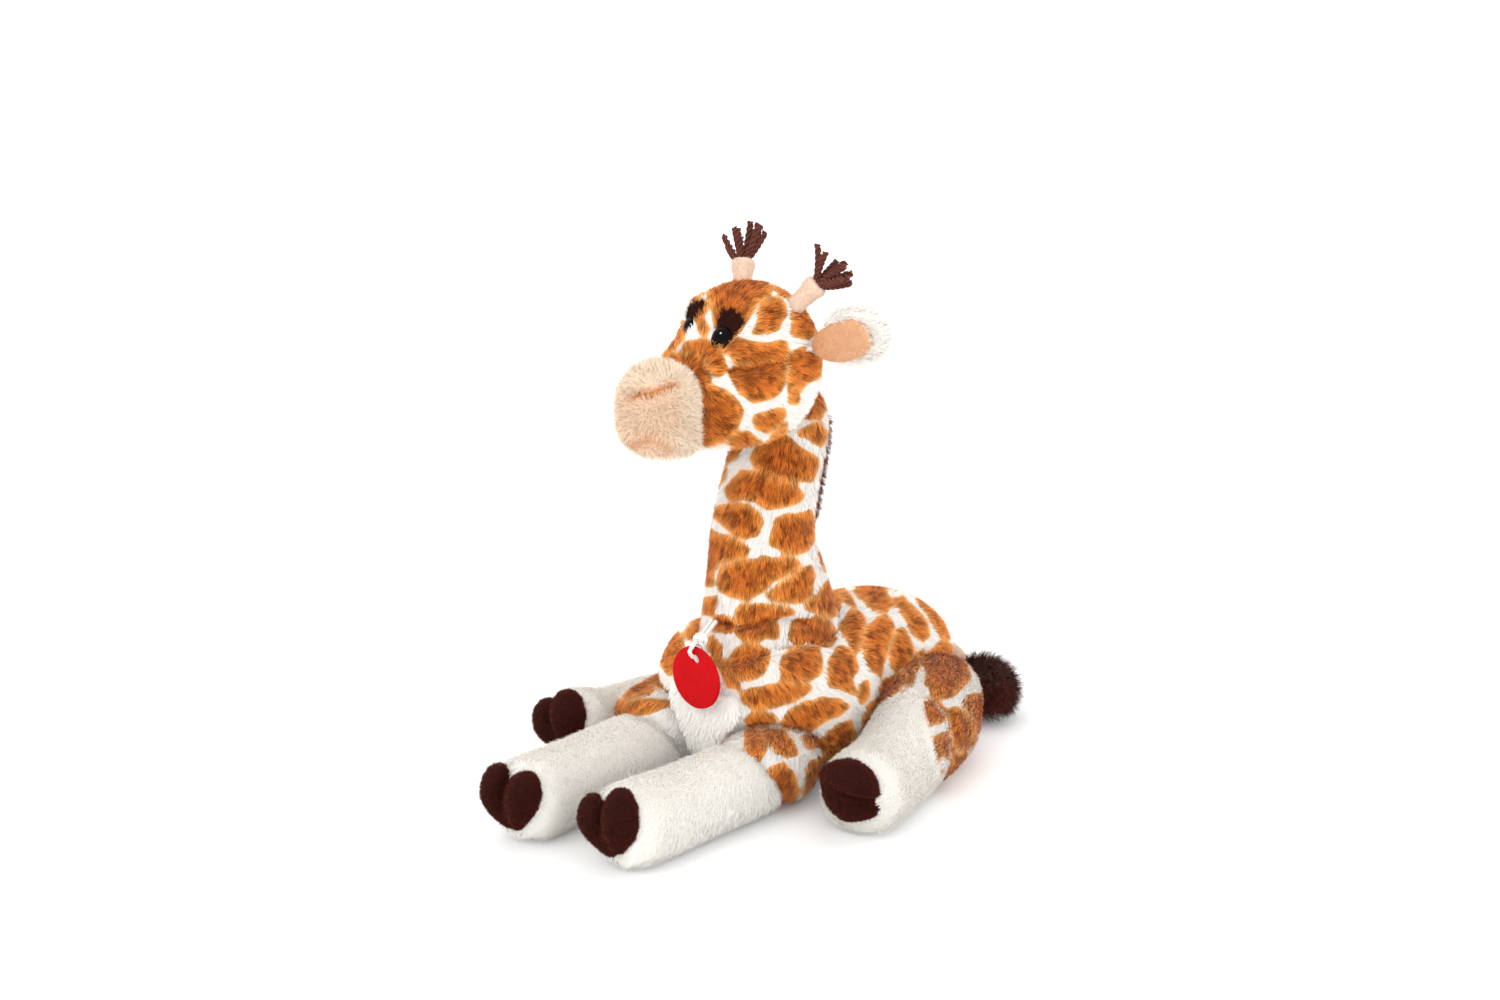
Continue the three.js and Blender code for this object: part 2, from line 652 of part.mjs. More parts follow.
function tagDisc() {
  const disc = toSolid(new THREE.CylinderGeometry(tagRadius, tagRadius, tag.thick, 32));
  const hole = new THREE.CylinderGeometry(tag.holeDiameter / 2, tag.holeDiameter / 2, tag.thick * 3, 12);
  const solid = disc.subtract(toSolid(hole.translate(0, 0, tagRadius - tag.holeInset)));
  const place = new THREE.Matrix4().makeTranslation(tag.x, tag.y, tag.z)
    .multiply(new THREE.Matrix4().makeRotationZ(rad(tag.turn)));
  return toSolid(toGeometry(solid).applyMatrix4(place));
}

// The cord comes down through the knot, round the felt above the hole, and back up beside itself.
function cordForm(grow = 0) {
  const apart = cordRadius + tag.cordGap / 2;
  const rim = (tag.holeInset - tag.holeDiameter / 2) / 2;
  const round = Math.hypot(rim, tag.thick / 2) + 2 * gap + cordRadius;
  const middle = vec(tag.x, tag.y, holeZ + tag.holeDiameter / 2 + rim);
  const turns = [-105, -63, -21, 21, 63, 105].map((degrees) => {
    const angle = rad(degrees);
    return middle.clone().add(vec(0, round * Math.sin(angle), -round * Math.cos(angle)));
  });
  const rise = cordTop.clone().sub(knotMiddle).normalize();
  const inKnot = [3, -3].map((up) => knotMiddle.clone().addScaledVector(rise, up));
  const strand = (way) => [cordTop, ...inKnot].map((point) => point.clone().add(vec(way * apart, 0, 0)));
  const line = [...strand(-1), ...turns, ...strand(1).reverse()];
  return stuffed({
    line,
    across: line.map(() => cordRadius),
    sides: 6, rings: 26, capRings: 1, up: vec(1, 0, 0),
  }, grow);
}

// Build

const sides = [
  { word: 'left', side: 1, frontFoot: frontFootLeft, hindFoot: hindFootLeft, earSet: earLeft },
  { word: 'right', side: -1, frontFoot: frontFootRight, hindFoot: hindFootRight, earSet: earRight },
];

const sockets = []; // what the torso is hollowed by

for (const { word, side, frontFoot: foot } of sides) {
  const whole = toSolid(frontLegForm(side, foot)).subtract(underFloor);
  const along = vec(foot.x - side * frontLeg.shoulderX, foot.y - frontLeg.shoulderY, 0).normalize();
  const top = vec(side * frontLeg.shoulderX, frontLeg.sleeveTopY, 2 * frontLeg.kneeRadius);
  const bottom = vec(side * frontLeg.shoulderX, frontLeg.sleeveBottomY, 0);
  const seam = seamSides(top, bottom, along);
  addPiece(`shoulder_${word}`, whole.intersect(seam.behind), coat);
  addPiece(`front_leg_${word}`, whole.intersect(seam.ahead), whitePlush);
  const end = vec(foot.x, foot.y, frontLeg.footRadius - pressed);
  const grown = toSolid(frontLegForm(side, foot, gap));
  addPiece(`hoof_front_${word}`, hoofSolid(end, along, foot.roll).subtract(grown), brownVelour);
  const pivot = [side * frontLeg.shoulderX, frontLeg.shoulderY, frontLeg.shoulderZ - pressed];
  const joint = { ...joints.frontSwing, pivot };
  sockets.push({ form: frontLegForm(side, foot, sweepGap), joint, radius: frontLeg.shoulderRadius });
}

for (const { word, side, hindFoot: foot } of sides) {
  const outside = halfSpace(vec(side * (hindLeg.sideX + gap), 0, 0), vec(side, 0, 0));
  const whole = toSolid(hindLegForm(side, foot)).subtract(underFloor).intersect(outside);
  const along = vec(foot.x - side * hindLeg.bulgeX, foot.y - hindLeg.bulgeY, 0).normalize();
  const top = vec(side * foot.kneeX, hindLeg.sleeveTopY, 2 * hindLeg.kneeRadius);
  const bottom = vec(side * foot.kneeX, hindLeg.sleeveBottomY, 0);
  const seam = seamSides(top, bottom, along);
  addPiece(`thigh_${word}`, whole.intersect(seam.behind), coat);
  addPiece(`hind_leg_${word}`, whole.intersect(seam.ahead), whitePlush);
  const out = vec(side * Math.sin(rad(foot.toeOut)), -Math.cos(rad(foot.toeOut)), 0);
  const end = vec(foot.x, foot.y, foot.radius - pressed);
  const grown = toSolid(hindLegForm(side, foot, gap));
  addPiece(`hoof_hind_${word}`, hoofSolid(end, out, foot.roll).subtract(grown), brownVelour);
}

// The torso and the white belly panel let into it are hollowed where the other pieces are sewn on.
function torsoLess(solid) {
  let left = solid.subtract(underFloor);
  const neckEnd = { radius: neck.baseRadius, depth: neck.baseDepth };
  left = carved(left, neckForm(sweepGap), joints.neckSway, neckEnd);
  left = carved(left, tailForm(sweepGap), joints.tailSwing, { radius: tail.rootRadius });
  for (const { form, joint, radius } of sockets) left = carved(left, form, joint, { radius });
  for (const side of [1, -1]) {
    const { recessRadius, recessDepth } = hindLeg;
    const recess = new THREE.CylinderGeometry(recessRadius, recessRadius, recessDepth, 24)
      .rotateZ(Math.PI / 2)
      .translate(side * (hindLeg.sideX + recessDepth / 2), hindLeg.hipY, hindLeg.hipZ);
    left = left.subtract(toSolid(recess));
  }
  return left;
}

function panelBlock(grow) {
  const reach = 60;
  const front = torso.front - reach;
  const rear = bellyPanel.rear + grow;
  const top = bellyPanel.top + grow;
  return toSolid(new THREE.BoxGeometry(bellyPanel.width + 2 * grow, rear - front, top + reach)
    .translate(0, (rear + front) / 2, (top - reach) / 2));
}

const torsoWhole = toSolid(torsoForm());
const panel = torsoWhole.subtract(toSolid(torsoForm(-bellyPanel.thick))).intersect(panelBlock(0));
const pocket = torsoWhole.subtract(toSolid(torsoForm(-bellyPanel.thick - gap))).intersect(panelBlock(gap));
addPiece('torso', torsoLess(torsoWhole.subtract(pocket)), coat);
addPiece('belly_panel', torsoLess(panel), whitePlush);
addPiece('neck', toSolid(neckForm()), coat);

// The head is hollowed for the neck, ears and ossicones, and for each eye's shank and washer.
let skull = toSolid(headForm());
for (const { word, side, earSet } of sides) {
  const blade = earFrame(side, earSet);
  const flap = { ...joints.earFlap, pivot: blade.root.toArray(), axis: blade.across.toArray() };
  skull = carved(skull, earForm(blade, sweepGap), flap, { radius: ear.rootRadius });
  const outer = toSolid(earForm(blade)).subtract(toSolid(earLiningForm(blade, gap)));
  addPiece(`ear_${word}`, onHeadSolid(outer), whitePlush);
  addPiece(`ear_lining_${word}`, onHeadSolid(toSolid(earLiningForm(blade))), tanVelour);

  const horn = ossiconeFrame(side);
  skull = skull.subtract(toSolid(ossiconeForm(horn, gap)));
  const bore = plugSolid(horn, tuft.plugRadius + gap, tuft.plugDepth + gap);
  addPiece(`ossicone_${word}`, onHeadSolid(toSolid(ossiconeForm(horn)).subtract(bore)), tanVelour);
  addPiece(`yarn_tuft_${word}`, onHeadSolid(tuftSolid(horn)), brownYarn);

  const socket = eyeFrame(side);
  const eyeRoom = toSolid(eyeForm(socket, gap));
  skull = skull.subtract(eyeRoom).subtract(toSolid(washerForm(socket, gap)));
  addPiece(`eye_${word}`, onHeadSolid(toSolid(eyeForm(socket))), blackGloss);
  addPiece(`eye_washer_${word}`, onHeadSolid(toSolid(washerForm(socket))), clearPlastic);
  const felt = toSolid(lashPrism(socket))
    .intersect(toSolid(headForm(lash.thick + gap)))
    .subtract(toSolid(headForm(gap)))
    .subtract(eyeRoom);
  addPiece(`lash_patch_${word}`, onHeadSolid(felt), brownVelour);
}
const neckRoom = { radius: neck.topRadius, clear: headBallGap, way: -1 };
const headWhole = carved(onHeadSolid(skull), neckForm(sweepGap), joints.headNod, neckRoom);
addPiece('head', headWhole, coat);
const snoutCap = toSolid(muzzleForm()).subtract(toSolid(headForm(gap)));
addPiece('muzzle', onHeadSolid(snoutCap), longPlush);

let maneSolid = toSolid(maneForm()).subtract(toSolid(neckForm(gap)));
for (const degrees of joints.headNod.places) {
  maneSolid = maneSolid.subtract(toSolid(turned(onHead(headForm(gap)), joints.headNod, degrees)));
}
addPiece('mane', maneSolid, manePlush);

addPiece('tail', toSolid(tailForm()).subtract(toSolid(tailTuftForm(gap))), tanVelour);
addPiece('tail_tuft', toSolid(tailTuftForm()), brownYarn);

addPiece('tag_disc', tagDisc(), redFelt);
addPiece('tag_cord', toSolid(cordForm()), whiteCord);
const knot = ball(tag.knotWidth, tag.knotWidth * 0.8, tag.knotHeight, 10, 6);
const knotSolid = toSolid(knot.translate(...knotMiddle.toArray()));
addPiece('tag_knot', knotSolid.subtract(toSolid(cordForm(gap))), whiteCord);

export default giraffe;
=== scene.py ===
# %% [markdown]
# # A plush giraffe
# A stuffed toy is cloth sewn round soft filling, so nothing on it is flat or sharp. This lesson takes a
# coarse solid of each piece, plumps it up as filling does, paints the coat on it as a pattern of patches,
# and then grows real pile on it, because pile is what makes a toy look soft. Lengths here are in metres.

# %% Load the solids
import json
import math

import bmesh
import bpy
import numpy as np
from mathutils import Matrix, Vector
from mathutils.bvhtree import BVHTree


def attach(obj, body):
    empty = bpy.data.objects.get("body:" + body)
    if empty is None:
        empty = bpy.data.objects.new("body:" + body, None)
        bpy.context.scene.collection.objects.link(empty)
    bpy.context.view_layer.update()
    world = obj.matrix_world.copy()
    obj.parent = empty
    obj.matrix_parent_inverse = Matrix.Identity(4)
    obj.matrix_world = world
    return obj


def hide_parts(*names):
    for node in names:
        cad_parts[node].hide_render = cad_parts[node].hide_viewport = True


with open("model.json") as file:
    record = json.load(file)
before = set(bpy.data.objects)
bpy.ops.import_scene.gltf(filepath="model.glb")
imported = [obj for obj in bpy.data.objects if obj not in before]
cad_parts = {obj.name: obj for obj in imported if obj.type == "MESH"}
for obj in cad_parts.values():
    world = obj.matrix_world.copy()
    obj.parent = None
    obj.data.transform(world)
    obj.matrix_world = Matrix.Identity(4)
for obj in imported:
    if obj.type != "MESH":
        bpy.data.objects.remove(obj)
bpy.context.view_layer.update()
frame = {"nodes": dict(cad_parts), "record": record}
MM = 0.001
SIDES = ((1, "left"), (-1, "right"))
scene = bpy.context.scene

# %% [markdown]
# ## Camera, floor and light
# The picture is taken with a long lens from a little above, 40 degrees round to the toy's left. A long
# lens keeps the near hooves from looming. The floor is white, and what makes it read as a floor is only
# the soft shadow on it, so the light has to be broad. Most of it comes from the world. A lamp that only
# glossy surfaces see puts the highlight into the eyes, and the two lamps from the sides aren't seen in
# gloss, so the eyes show one highlight and no more.

# %% Camera
AZIMUTH, ELEVATION, FAR = math.radians(40), math.radians(18), 2.0
SENSOR, PICTURE_WIDTH = 36, 0.825  # millimetres, and metres of the toy's surroundings across the picture
look_at = Vector((24.1, -79.75, 177)) * MM
towards_camera = Vector((
    math.sin(AZIMUTH) * math.cos(ELEVATION),
    -math.cos(AZIMUTH) * math.cos(ELEVATION),
    math.sin(ELEVATION),
))
camera = bpy.data.objects.new("camera", bpy.data.cameras.new("camera"))
camera.data.sensor_width = SENSOR
camera.data.lens = SENSOR * FAR / PICTURE_WIDTH
camera.location = look_at + towards_camera * FAR
camera.rotation_euler = towards_camera.to_track_quat("Z", "Y").to_euler()
camera.data.clip_end = 50
scene.collection.objects.link(camera)
scene.camera = camera
print("camera stands at", tuple(round(x, 3) for x in camera.location))

# %% Floor and light
scene.view_settings.view_transform = "Standard"
SHOWN = ("Is Camera Ray", "Is Glossy Ray", "Is Transmission Ray")
PAPER_GLOW = 0.04  # brings the paper up to the white behind it
SKY_LIGHT, SKY_SHOWN = 1.33, 1.0


def nodes_of(owner):
    """An empty node tree for a world or a material."""
    owner.use_nodes = True
    owner.node_tree.nodes.clear()
    return owner.node_tree


def node_in(tree, kind, into=(), **settings):
    """Adds a node. Each of its inputs is linked to another node's result, or set to a plain value."""
    node = tree.nodes.new(kind)
    for name, value in settings.items():
        setattr(node, name, value)
    for name, value in dict(into).items():
        if hasattr(value, "is_output"):
            tree.links.new(value, node.inputs[name])
        else:
            node.inputs[name].default_value = value
    return node


def maths(tree, kind, a, b=0.0, clamp=False):
    return node_in(tree, "ShaderNodeMath", {0: a, 1: b}, operation=kind, use_clamp=clamp).outputs[0]


world = bpy.data.worlds.new("studio")
scene.world = world
tree = nodes_of(world)
rays = node_in(tree, "ShaderNodeLightPath").outputs
shown, white = (
    node_in(tree, "ShaderNodeBackground", {"Color": (1, 1, 1, 1), "Strength": strength}).outputs[0]
    for strength in (SKY_LIGHT, SKY_SHOWN)
)
for ray in SHOWN:
    shown = node_in(tree, "ShaderNodeMixShader", {0: rays[ray], 1: shown, 2: white}).outputs[0]
node_in(tree, "ShaderNodeOutputWorld", {0: shown})

bm = bmesh.new()
bmesh.ops.create_grid(bm, x_segments=1, y_segments=1, size=6)
floor_mesh = bpy.data.meshes.new("floor")
bm.to_mesh(floor_mesh)
bm.free()
floor = bpy.data.objects.new("floor", floor_mesh)
scene.collection.objects.link(floor)
paper = bpy.data.materials.new("white_paper")
tree = nodes_of(paper)
matt = node_in(tree, "ShaderNodeBsdfDiffuse", {"Color": (0.9, 0.9, 0.9, 1)}).outputs[0]
rays = node_in(tree, "ShaderNodeLightPath").outputs
shown = rays[SHOWN[0]]
for ray in SHOWN[1:]:
    shown = maths(tree, "MAXIMUM", shown, rays[ray])
glow = maths(tree, "MULTIPLY", shown, PAPER_GLOW)
lift = node_in(tree, "ShaderNodeEmission", {"Strength": glow}).outputs[0]
both = node_in(tree, "ShaderNodeAddShader", {0: matt, 1: lift}).outputs[0]
node_in(tree, "ShaderNodeOutputMaterial", {0: both})
floor_mesh.materials.append(paper)


def wide_light(name, comes_from, spread, strength):
    """A sun with a wide disc: even light over the floor, and shadows as soft as a big softbox gives."""
    lamp = bpy.data.objects.new(name, bpy.data.lights.new(name, "SUN"))
    lamp.data.angle = math.radians(spread)
    lamp.data.energy = strength
    lamp.rotation_euler = Vector(comes_from).to_track_quat("Z", "Y").to_euler()
    scene.collection.objects.link(lamp)
    return lamp


FRONT = (-0.15, -0.8, 1.0)
wide_light("key", FRONT, 32, 0.3)
sparkle = wide_light("sparkle", FRONT, 16, 6.0)
sparkle.visible_diffuse = False
for name, comes_from, strength in (("fill", (1.0, -0.8, 0.25), 1.05), ("bounce", (-1.0, -0.9, 0.2), 0.5)):
    wide_light(name, comes_from, 70, strength).visible_glossy = False

# %% Where a point lands in the picture
bpy.context.view_layer.update()
to_lens = np.array(camera.matrix_world.inverted())
WIDE, HIGH = 1500, 1000  # the picture's own pixels
FOCAL = WIDE * camera.data.lens / camera.data.sensor_width
PIXEL = 0.55  # millimetres at the toy


def in_picture(co):
    """Where points land in the picture, in its own pixels."""
    p = co @ to_lens[:3, :3].T + to_lens[:3, 3]
    return np.stack([WIDE / 2 - FOCAL * p[:, 0] / p[:, 2], HIGH / 2 + FOCAL * p[:, 1] / p[:, 2]], axis=1)


def off_line(xy, line):
    """Distance in pixels from a drawn line."""
    near = np.full(len(xy), np.inf)
    for a, b in zip(np.array(line[:-1], float), np.array(line[1:], float)):
        along, offset = b - a, xy - a
        t = np.clip(offset @ along / (along @ along), 0, 1)
        near = np.minimum(near, np.hypot(*(offset - t[:, None] * along).T))
    return near


def depth_in_outline(xy, outline):
    """Distance in pixels to an outline, positive inside it."""
    closed = outline + outline[:1]
    x, y = xy.T
    inside = np.zeros(len(xy), dtype=bool)
    for (ax, ay), (bx, by) in zip(closed, closed[1:]):
        if ay != by:
            left_of = x < (bx - ax) * (y - ay) / (by - ay) + ax
            inside ^= ((ay > y) != (by > y)) & left_of
    near = off_line(xy, closed)
    return np.where(inside, near, -near)


# %% [markdown]
# ## Plumping
# A cover that is cut flat and filled swells between its seams. Three ways give that: subdivision
# surfaces, sculpting, or a cloth simulation with air pressure inside. The simulation is the real
# mechanism, so it comes first, at a coarse grain, and a smooth finer skin is laid over its result.

# %% Helpers for covers
ABOVE_FLOOR = 0.0004
AIR_FRAMES = 12


def hill(offset, wide):
    """1 where there is no offset, falling off smoothly over a width."""
    return np.exp(-((offset / wide) ** 2))


def split_along(co, middle, way):
    """How far points lie along a direction, in metres and as a share, and where they lie across it."""
    along = (co - middle) @ way
    return along, ((along - along.min()) / np.ptp(along))[:, None], co - middle - along[:, None] * way


def copy_of(node, name):
    """A merged copy of a solid, as a new object."""
    mesh = frame["nodes"][node].data.copy()
    mesh.name = name
    mesh.materials.clear()
    bm = bmesh.new()
    bm.from_mesh(mesh)
    bmesh.ops.remove_doubles(bm, verts=bm.verts, dist=1e-6)
    bm.to_mesh(mesh)
    bm.free()
    piece = bpy.data.objects.new(name, mesh)
    scene.collection.objects.link(piece)
    return piece


def apply_modifiers(piece):
    graph = bpy.context.evaluated_depsgraph_get()
    mesh = bpy.data.meshes.new_from_object(piece.evaluated_get(graph), depsgraph=graph)
    piece.modifiers.clear()
    old = piece.data
    piece.data = mesh
    bpy.data.meshes.remove(old)
    piece.data.name = piece.name


def remesh(piece, voxel):
    step = piece.modifiers.new("remesh", "REMESH")
    step.mode = "VOXEL"
    step.voxel_size = voxel
    apply_modifiers(piece)


def places(mesh):
    co = np.empty(len(mesh.vertices) * 3)
    mesh.vertices.foreach_get("co", co)
    return co.reshape(-1, 3)


def normals(mesh):
    no = np.empty(len(mesh.vertices) * 3)
    mesh.vertex_normals.foreach_get("vector", no)
    return no.reshape(-1, 3)


def put_places(mesh, co):
    mesh.vertices.foreach_set("co", np.ascontiguousarray(co, dtype=np.float32).ravel())
    mesh.update()


def on_floor(piece):
    co = places(piece.data)
    co[:, 2] = np.maximum(co[:, 2], ABOVE_FLOOR)
    put_places(piece.data, co)


def tree_of(mesh):
    """What rays are cast at."""
    points = [v.co.copy() for v in mesh.vertices]
    return BVHTree.FromPolygons(points, [tuple(p.vertices) for p in mesh.polygons])


def smooth(bm, verts):
    bmesh.ops.smooth_vert(bm, verts=verts, factor=0.5, use_axis_x=True, use_axis_y=True, use_axis_z=True)


def relax(piece, rounds):
    """Smooths a skin, then gives back the size that smoothing takes."""
    before = places(piece.data)
    bm = bmesh.new()
    bm.from_mesh(piece.data)
    for _ in range(rounds):
        smooth(bm, bm.verts)
    bm.to_mesh(piece.data)
    bm.free()
    lost = ((before - places(piece.data)) * normals(piece.data)).sum(axis=1).mean()
    put_places(piece.data, places(piece.data) + normals(piece.data) * max(lost, 0))


def plump(piece, pressure, cap):
    """Fills a cover with air for a few frames. No point may move more than cap."""
    before = places(piece.data)
    air = piece.modifiers.new("air", "CLOTH")
    air.settings.quality = 5
    air.settings.mass = 0.3
    air.settings.use_pressure = True
    air.settings.uniform_pressure_force = pressure
    air.settings.effector_weights.gravity = 0
    air.settings.tension_stiffness = 12
    air.settings.bending_stiffness = 1.5
    for number in range(1, AIR_FRAMES + 1):
        scene.frame_set(number)
    apply_modifiers(piece)
    scene.frame_set(1)
    move = places(piece.data) - before
    far = np.linalg.norm(move, axis=1, keepdims=True)
    put_places(piece.data, before + move * np.minimum(1, cap / np.maximum(far, 1e-9)))


# %% [markdown]
# ## Covers
# Each stuffed solid becomes one skin: remeshed evenly, plumped, smoothed, and then made finer so that
# the edges of the patches on it are smooth. What another piece covers is found by looking outwards from
# the skin: where a neighbour is met within a few millimetres, no pile grows.

# %% Make the skins
STUFFED = {
    # piece, or both of a pair: (voxel in mm, finest voxel in mm, pressure, cap in mm, how full)
    "torso": (5, 1.9, 3.0, 2.5, 0.85),
    "belly_panel": (2.4, 1.9, 0, 0, 0.5),
    "neck": (4.5, 1.8, 3.0, 2, 0.9),
    "head": (4.5, 1.7, 2.0, 1.5, 0.95),
    "muzzle": (4, 1.7, 2.0, 1.5, 0.9),
    "shoulder_*": (4, 1.8, 2.0, 1.5, 0.85),
    "front_leg_*": (4, 1.8, 2.0, 1.5, 0.85),
    "thigh_*": (4, 1.8, 2.0, 1.5, 0.85),
    "hind_leg_*": (4, 1.8, 2.0, 1.5, 0.85),
    "hoof_front_*": (2.2, 1.2, 0, 0, 0.8),
    "hoof_hind_*": (2.2, 1.2, 0, 0, 0.8),
    "ear_*": (1.6, 1.3, 0, 0, 0.4),
    "ear_lining_*": (1.2, 1.2, 0, 0, 0.3),
    "ossicone_*": (1.5, 1.1, 0, 0, 0.8),
    "mane": (1.8, 1.5, 0, 0, 0.5),
    "tail": (1.5, 1.1, 0, 0, 0.8),
    "tail_tuft": (3, 1.8, 0, 0, 0.6),
}
bodies = frame["record"]["behaviour"]["bodies"]
body_of_node = {node: body for body, members in bodies.items() for node in members}
slot_of_node = {part["node"]: part["material_slot"] for part in frame["record"]["subparts"]}
covers = {}


def make_skin(node, coarse, fine, pressure, cap, full):
    skin = copy_of(node, node + "_cover")
    remesh(skin, coarse * MM)
    relax(skin, 4)
    if pressure:
        plump(skin, pressure, cap * MM)
        relax(skin, 2)
    remesh(skin, fine * MM)
    relax(skin, 5)
    on_floor(skin)
    covers[node] = skin
    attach(skin, body_of_node[node])
    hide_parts(node)


for kind, numbers in STUFFED.items():
    for node in dict.fromkeys(kind.replace("*", word) for _, word in SIDES):
        make_skin(node, *numbers)
print("skins:", len(covers), "with", sum(len(s.data.vertices) for s in covers.values()), "points")

# %% [markdown]
# ## Shaping the covers
# Filling alone gives balloons. The muzzle is cut as a soft box, the ear linings are wider than a plain
# oval, a hoof is two toes with a cleft, the far legs lie flatter than they were cut, and every seam and
# fold draws the cover in. Those are vertex moves, as a sculptor would make.

# %% Muzzle and ear linings
HEAD_TURN = math.radians(-10)
SQUARENESS = 2.6  # 2 leaves the muzzle round


def box_muzzle():
    mesh = covers["muzzle"].data
    turned = np.array(Matrix.Rotation(HEAD_TURN, 3, "Z"))
    middle = places(mesh).mean(axis=0)
    local = (places(mesh) - middle) @ turned
    half = np.abs(local).max(axis=0)
    way = local / half
    length = np.linalg.norm(way, axis=1, keepdims=True)
    boxed = (np.abs(way / length) ** SQUARENESS).sum(axis=1, keepdims=True) ** (-1 / SQUARENESS)
    local = local * (0.88 + 0.75 * (boxed - 1)) * [0.97, 0.98, 1.03] + [0.0008, 0, 0.0008]
    local[:, 2] -= 0.0015 * (local[:, 1] < 0) * np.abs(local[:, 1] / half[1])
    put_places(mesh, local @ turned.T + middle)


def shape_ear(side, word):
    """The lining widens from its root, and the ear is gathered where it is sewn in."""
    lining = covers["ear_lining_" + word]
    co = places(lining.data)
    middle = co.mean(axis=0)
    root = places(covers["ear_" + word].data)
    root = root[np.argmin(root[:, 0] * side)]
    way = (middle - root) / np.linalg.norm(middle - root)
    along, share, beside = split_along(co, middle, way)
    widened = beside * (0.85 + 0.33 * share ** 0.6) + way * (along * 1.06 - 0.0038)[:, None]
    put_places(lining.data, middle + widened)
    back = covers["ear_" + word].data
    co = places(back)
    away = (co - root) @ way
    slim = 0.2 + 0.8 * np.clip((away - 0.008) / 0.014, 0, 1)[:, None]
    axis = root + np.outer(away, way)
    put_places(back, axis + (co - axis) * slim)


box_muzzle()
for side, word in SIDES:
    shape_ear(side, word)

# %% Brow, horns, mane and tuft
BROW, BROW_SIZE = (693, 303), (20, 17)  # in the picture's pixels
BROW_OUT, MANE_IN, TUFT_SIZE = 0.005, 0.0022, 0.88


def push_brow():
    """The forehead is fuller over the far eye."""
    mesh = covers["head"].data
    co = places(mesh)
    xy = in_picture(co)
    sideways = np.array(camera.matrix_world.to_3x3().col[0])
    outer = np.clip(-(normals(mesh) @ sideways) * 2, 0, 1)
    full = hill(xy - BROW, BROW_SIZE).prod(axis=1) * outer
    put_places(mesh, co - np.outer(full * BROW_OUT, sideways))


push_brow()


def taper_horn(word):
    """Horns are narrow where they leave the head and fuller at the end."""
    mesh = covers["ossicone_" + word].data
    co = places(mesh)
    tip = places(frame["nodes"]["yarn_tuft_" + word].data).mean(axis=0)
    middle = co.mean(axis=0)
    out = (tip - middle) / np.linalg.norm(tip - middle)
    _, share, beside = split_along(co, middle, out)
    put_places(mesh, co + beside * (0.34 * share ** 1.2 - 0.04))


for _, word in SIDES:
    taper_horn(word)
mane = covers["mane"].data
put_places(mane, places(mane) - normals(mane) * MANE_IN)
tuft = covers["tail_tuft"].data
middle = places(tuft).mean(axis=0)
put_places(tuft, middle + (places(tuft) - middle) * TUFT_SIZE - [0.001, 0, 0.002])


# %% Hooves
HOOF_SET = {
    # size, lift in mm, turn of the cleft in degrees, its depth, how pointed, how closed, mm of fill
    "front_left": (1.2, 1, 8, 1.0, 0.42, 0.1, 0),
    "front_right": (1.18, 0, 6, 1.0, 0.42, 0.1, 0),
    "hind_left": (1.2, -1.5, -100, 0.45, 0.03, 0.4, 6),
    "hind_right": (1.18, 0, 30, 0.9, 0.42, 0.1, 0),
}
# Metres across a hoof: where the cleft is and how wide, the toes' middles, width and height, the seam beside
# them and its width, and the width of what fills the notch of the hoof that lies on its side.
CLEFT_AT, CLEFT_WIDE, TOE_AT, TOE_WIDE, TOE_TALL = 0.0022, 0.0021, 0.0095, 0.007, 0.013
SEAM_AT, SEAM_WIDE, NOTCH_WIDE = 0.0155, 0.0012, 0.0055
TOE_OUT, CLEFT_IN, SEAM_IN, CLEFT_DOWN = 0.0026, 0.0066, 0.0009, 0.0055


def puff_hoof(word):
    """Two stuffed toes with a deep cleft between them, turned the way this foot lies."""
    size, lift, roll, deep, pointed, closed, fill = HOOF_SET[word]
    mesh = covers["hoof_" + word].data
    co = places(mesh)
    leg = places(covers[word.replace("_", "_leg_")].data)
    middle = co.mean(axis=0)
    ankle = leg[np.argsort(np.linalg.norm(leg - middle, axis=1))[:900]].mean(axis=0)
    out = middle - ankle
    out[2] = 0
    out /= np.linalg.norm(out)
    across = np.cross(out, [0, 0, 1.0])
    turn = np.array(Matrix.Rotation(math.radians(roll), 3, Vector(out)))
    local = (co - middle) * size
    x, z, y = local @ across - CLEFT_AT, local[:, 2], local @ out
    tall = np.abs(z).max()
    low, high = np.clip(-z / tall, 0, 1), np.clip(z / tall, 0, 1)
    cleft = deep * hill(x, CLEFT_WIDE) * np.clip((z / tall + 0.45) / 0.9, 0, 1)
    toes = hill(np.abs(x) - TOE_AT, TOE_WIDE) * hill(z, TOE_TALL)
    seam = hill(np.abs(x) - SEAM_AT * (1 - 0.35 * low), SEAM_WIDE) * np.clip(0.4 - y / 0.02, 0, 1)
    push = (TOE_OUT * toes - CLEFT_IN * cleft - SEAM_IN * seam) * (y > -0.006)
    local = local - np.outer(x * (pointed * low ** 1.3 + closed * high), across)
    local = local + np.outer(push, out) - np.outer(cleft * (z > 0) * CLEFT_DOWN, [0, 0, 1])
    local[:, 2] += fill * MM * hill(x, NOTCH_WIDE) * high
    local += np.outer(0.3 * fill * MM * high, out)
    put_places(mesh, middle + local @ turn.T + [0, 0, lift * MM])
    on_floor(covers["hoof_" + word])


for word in HOOF_SET:
    puff_hoof(word)


# %% Seams and folds
short_pile_and_shade = {}


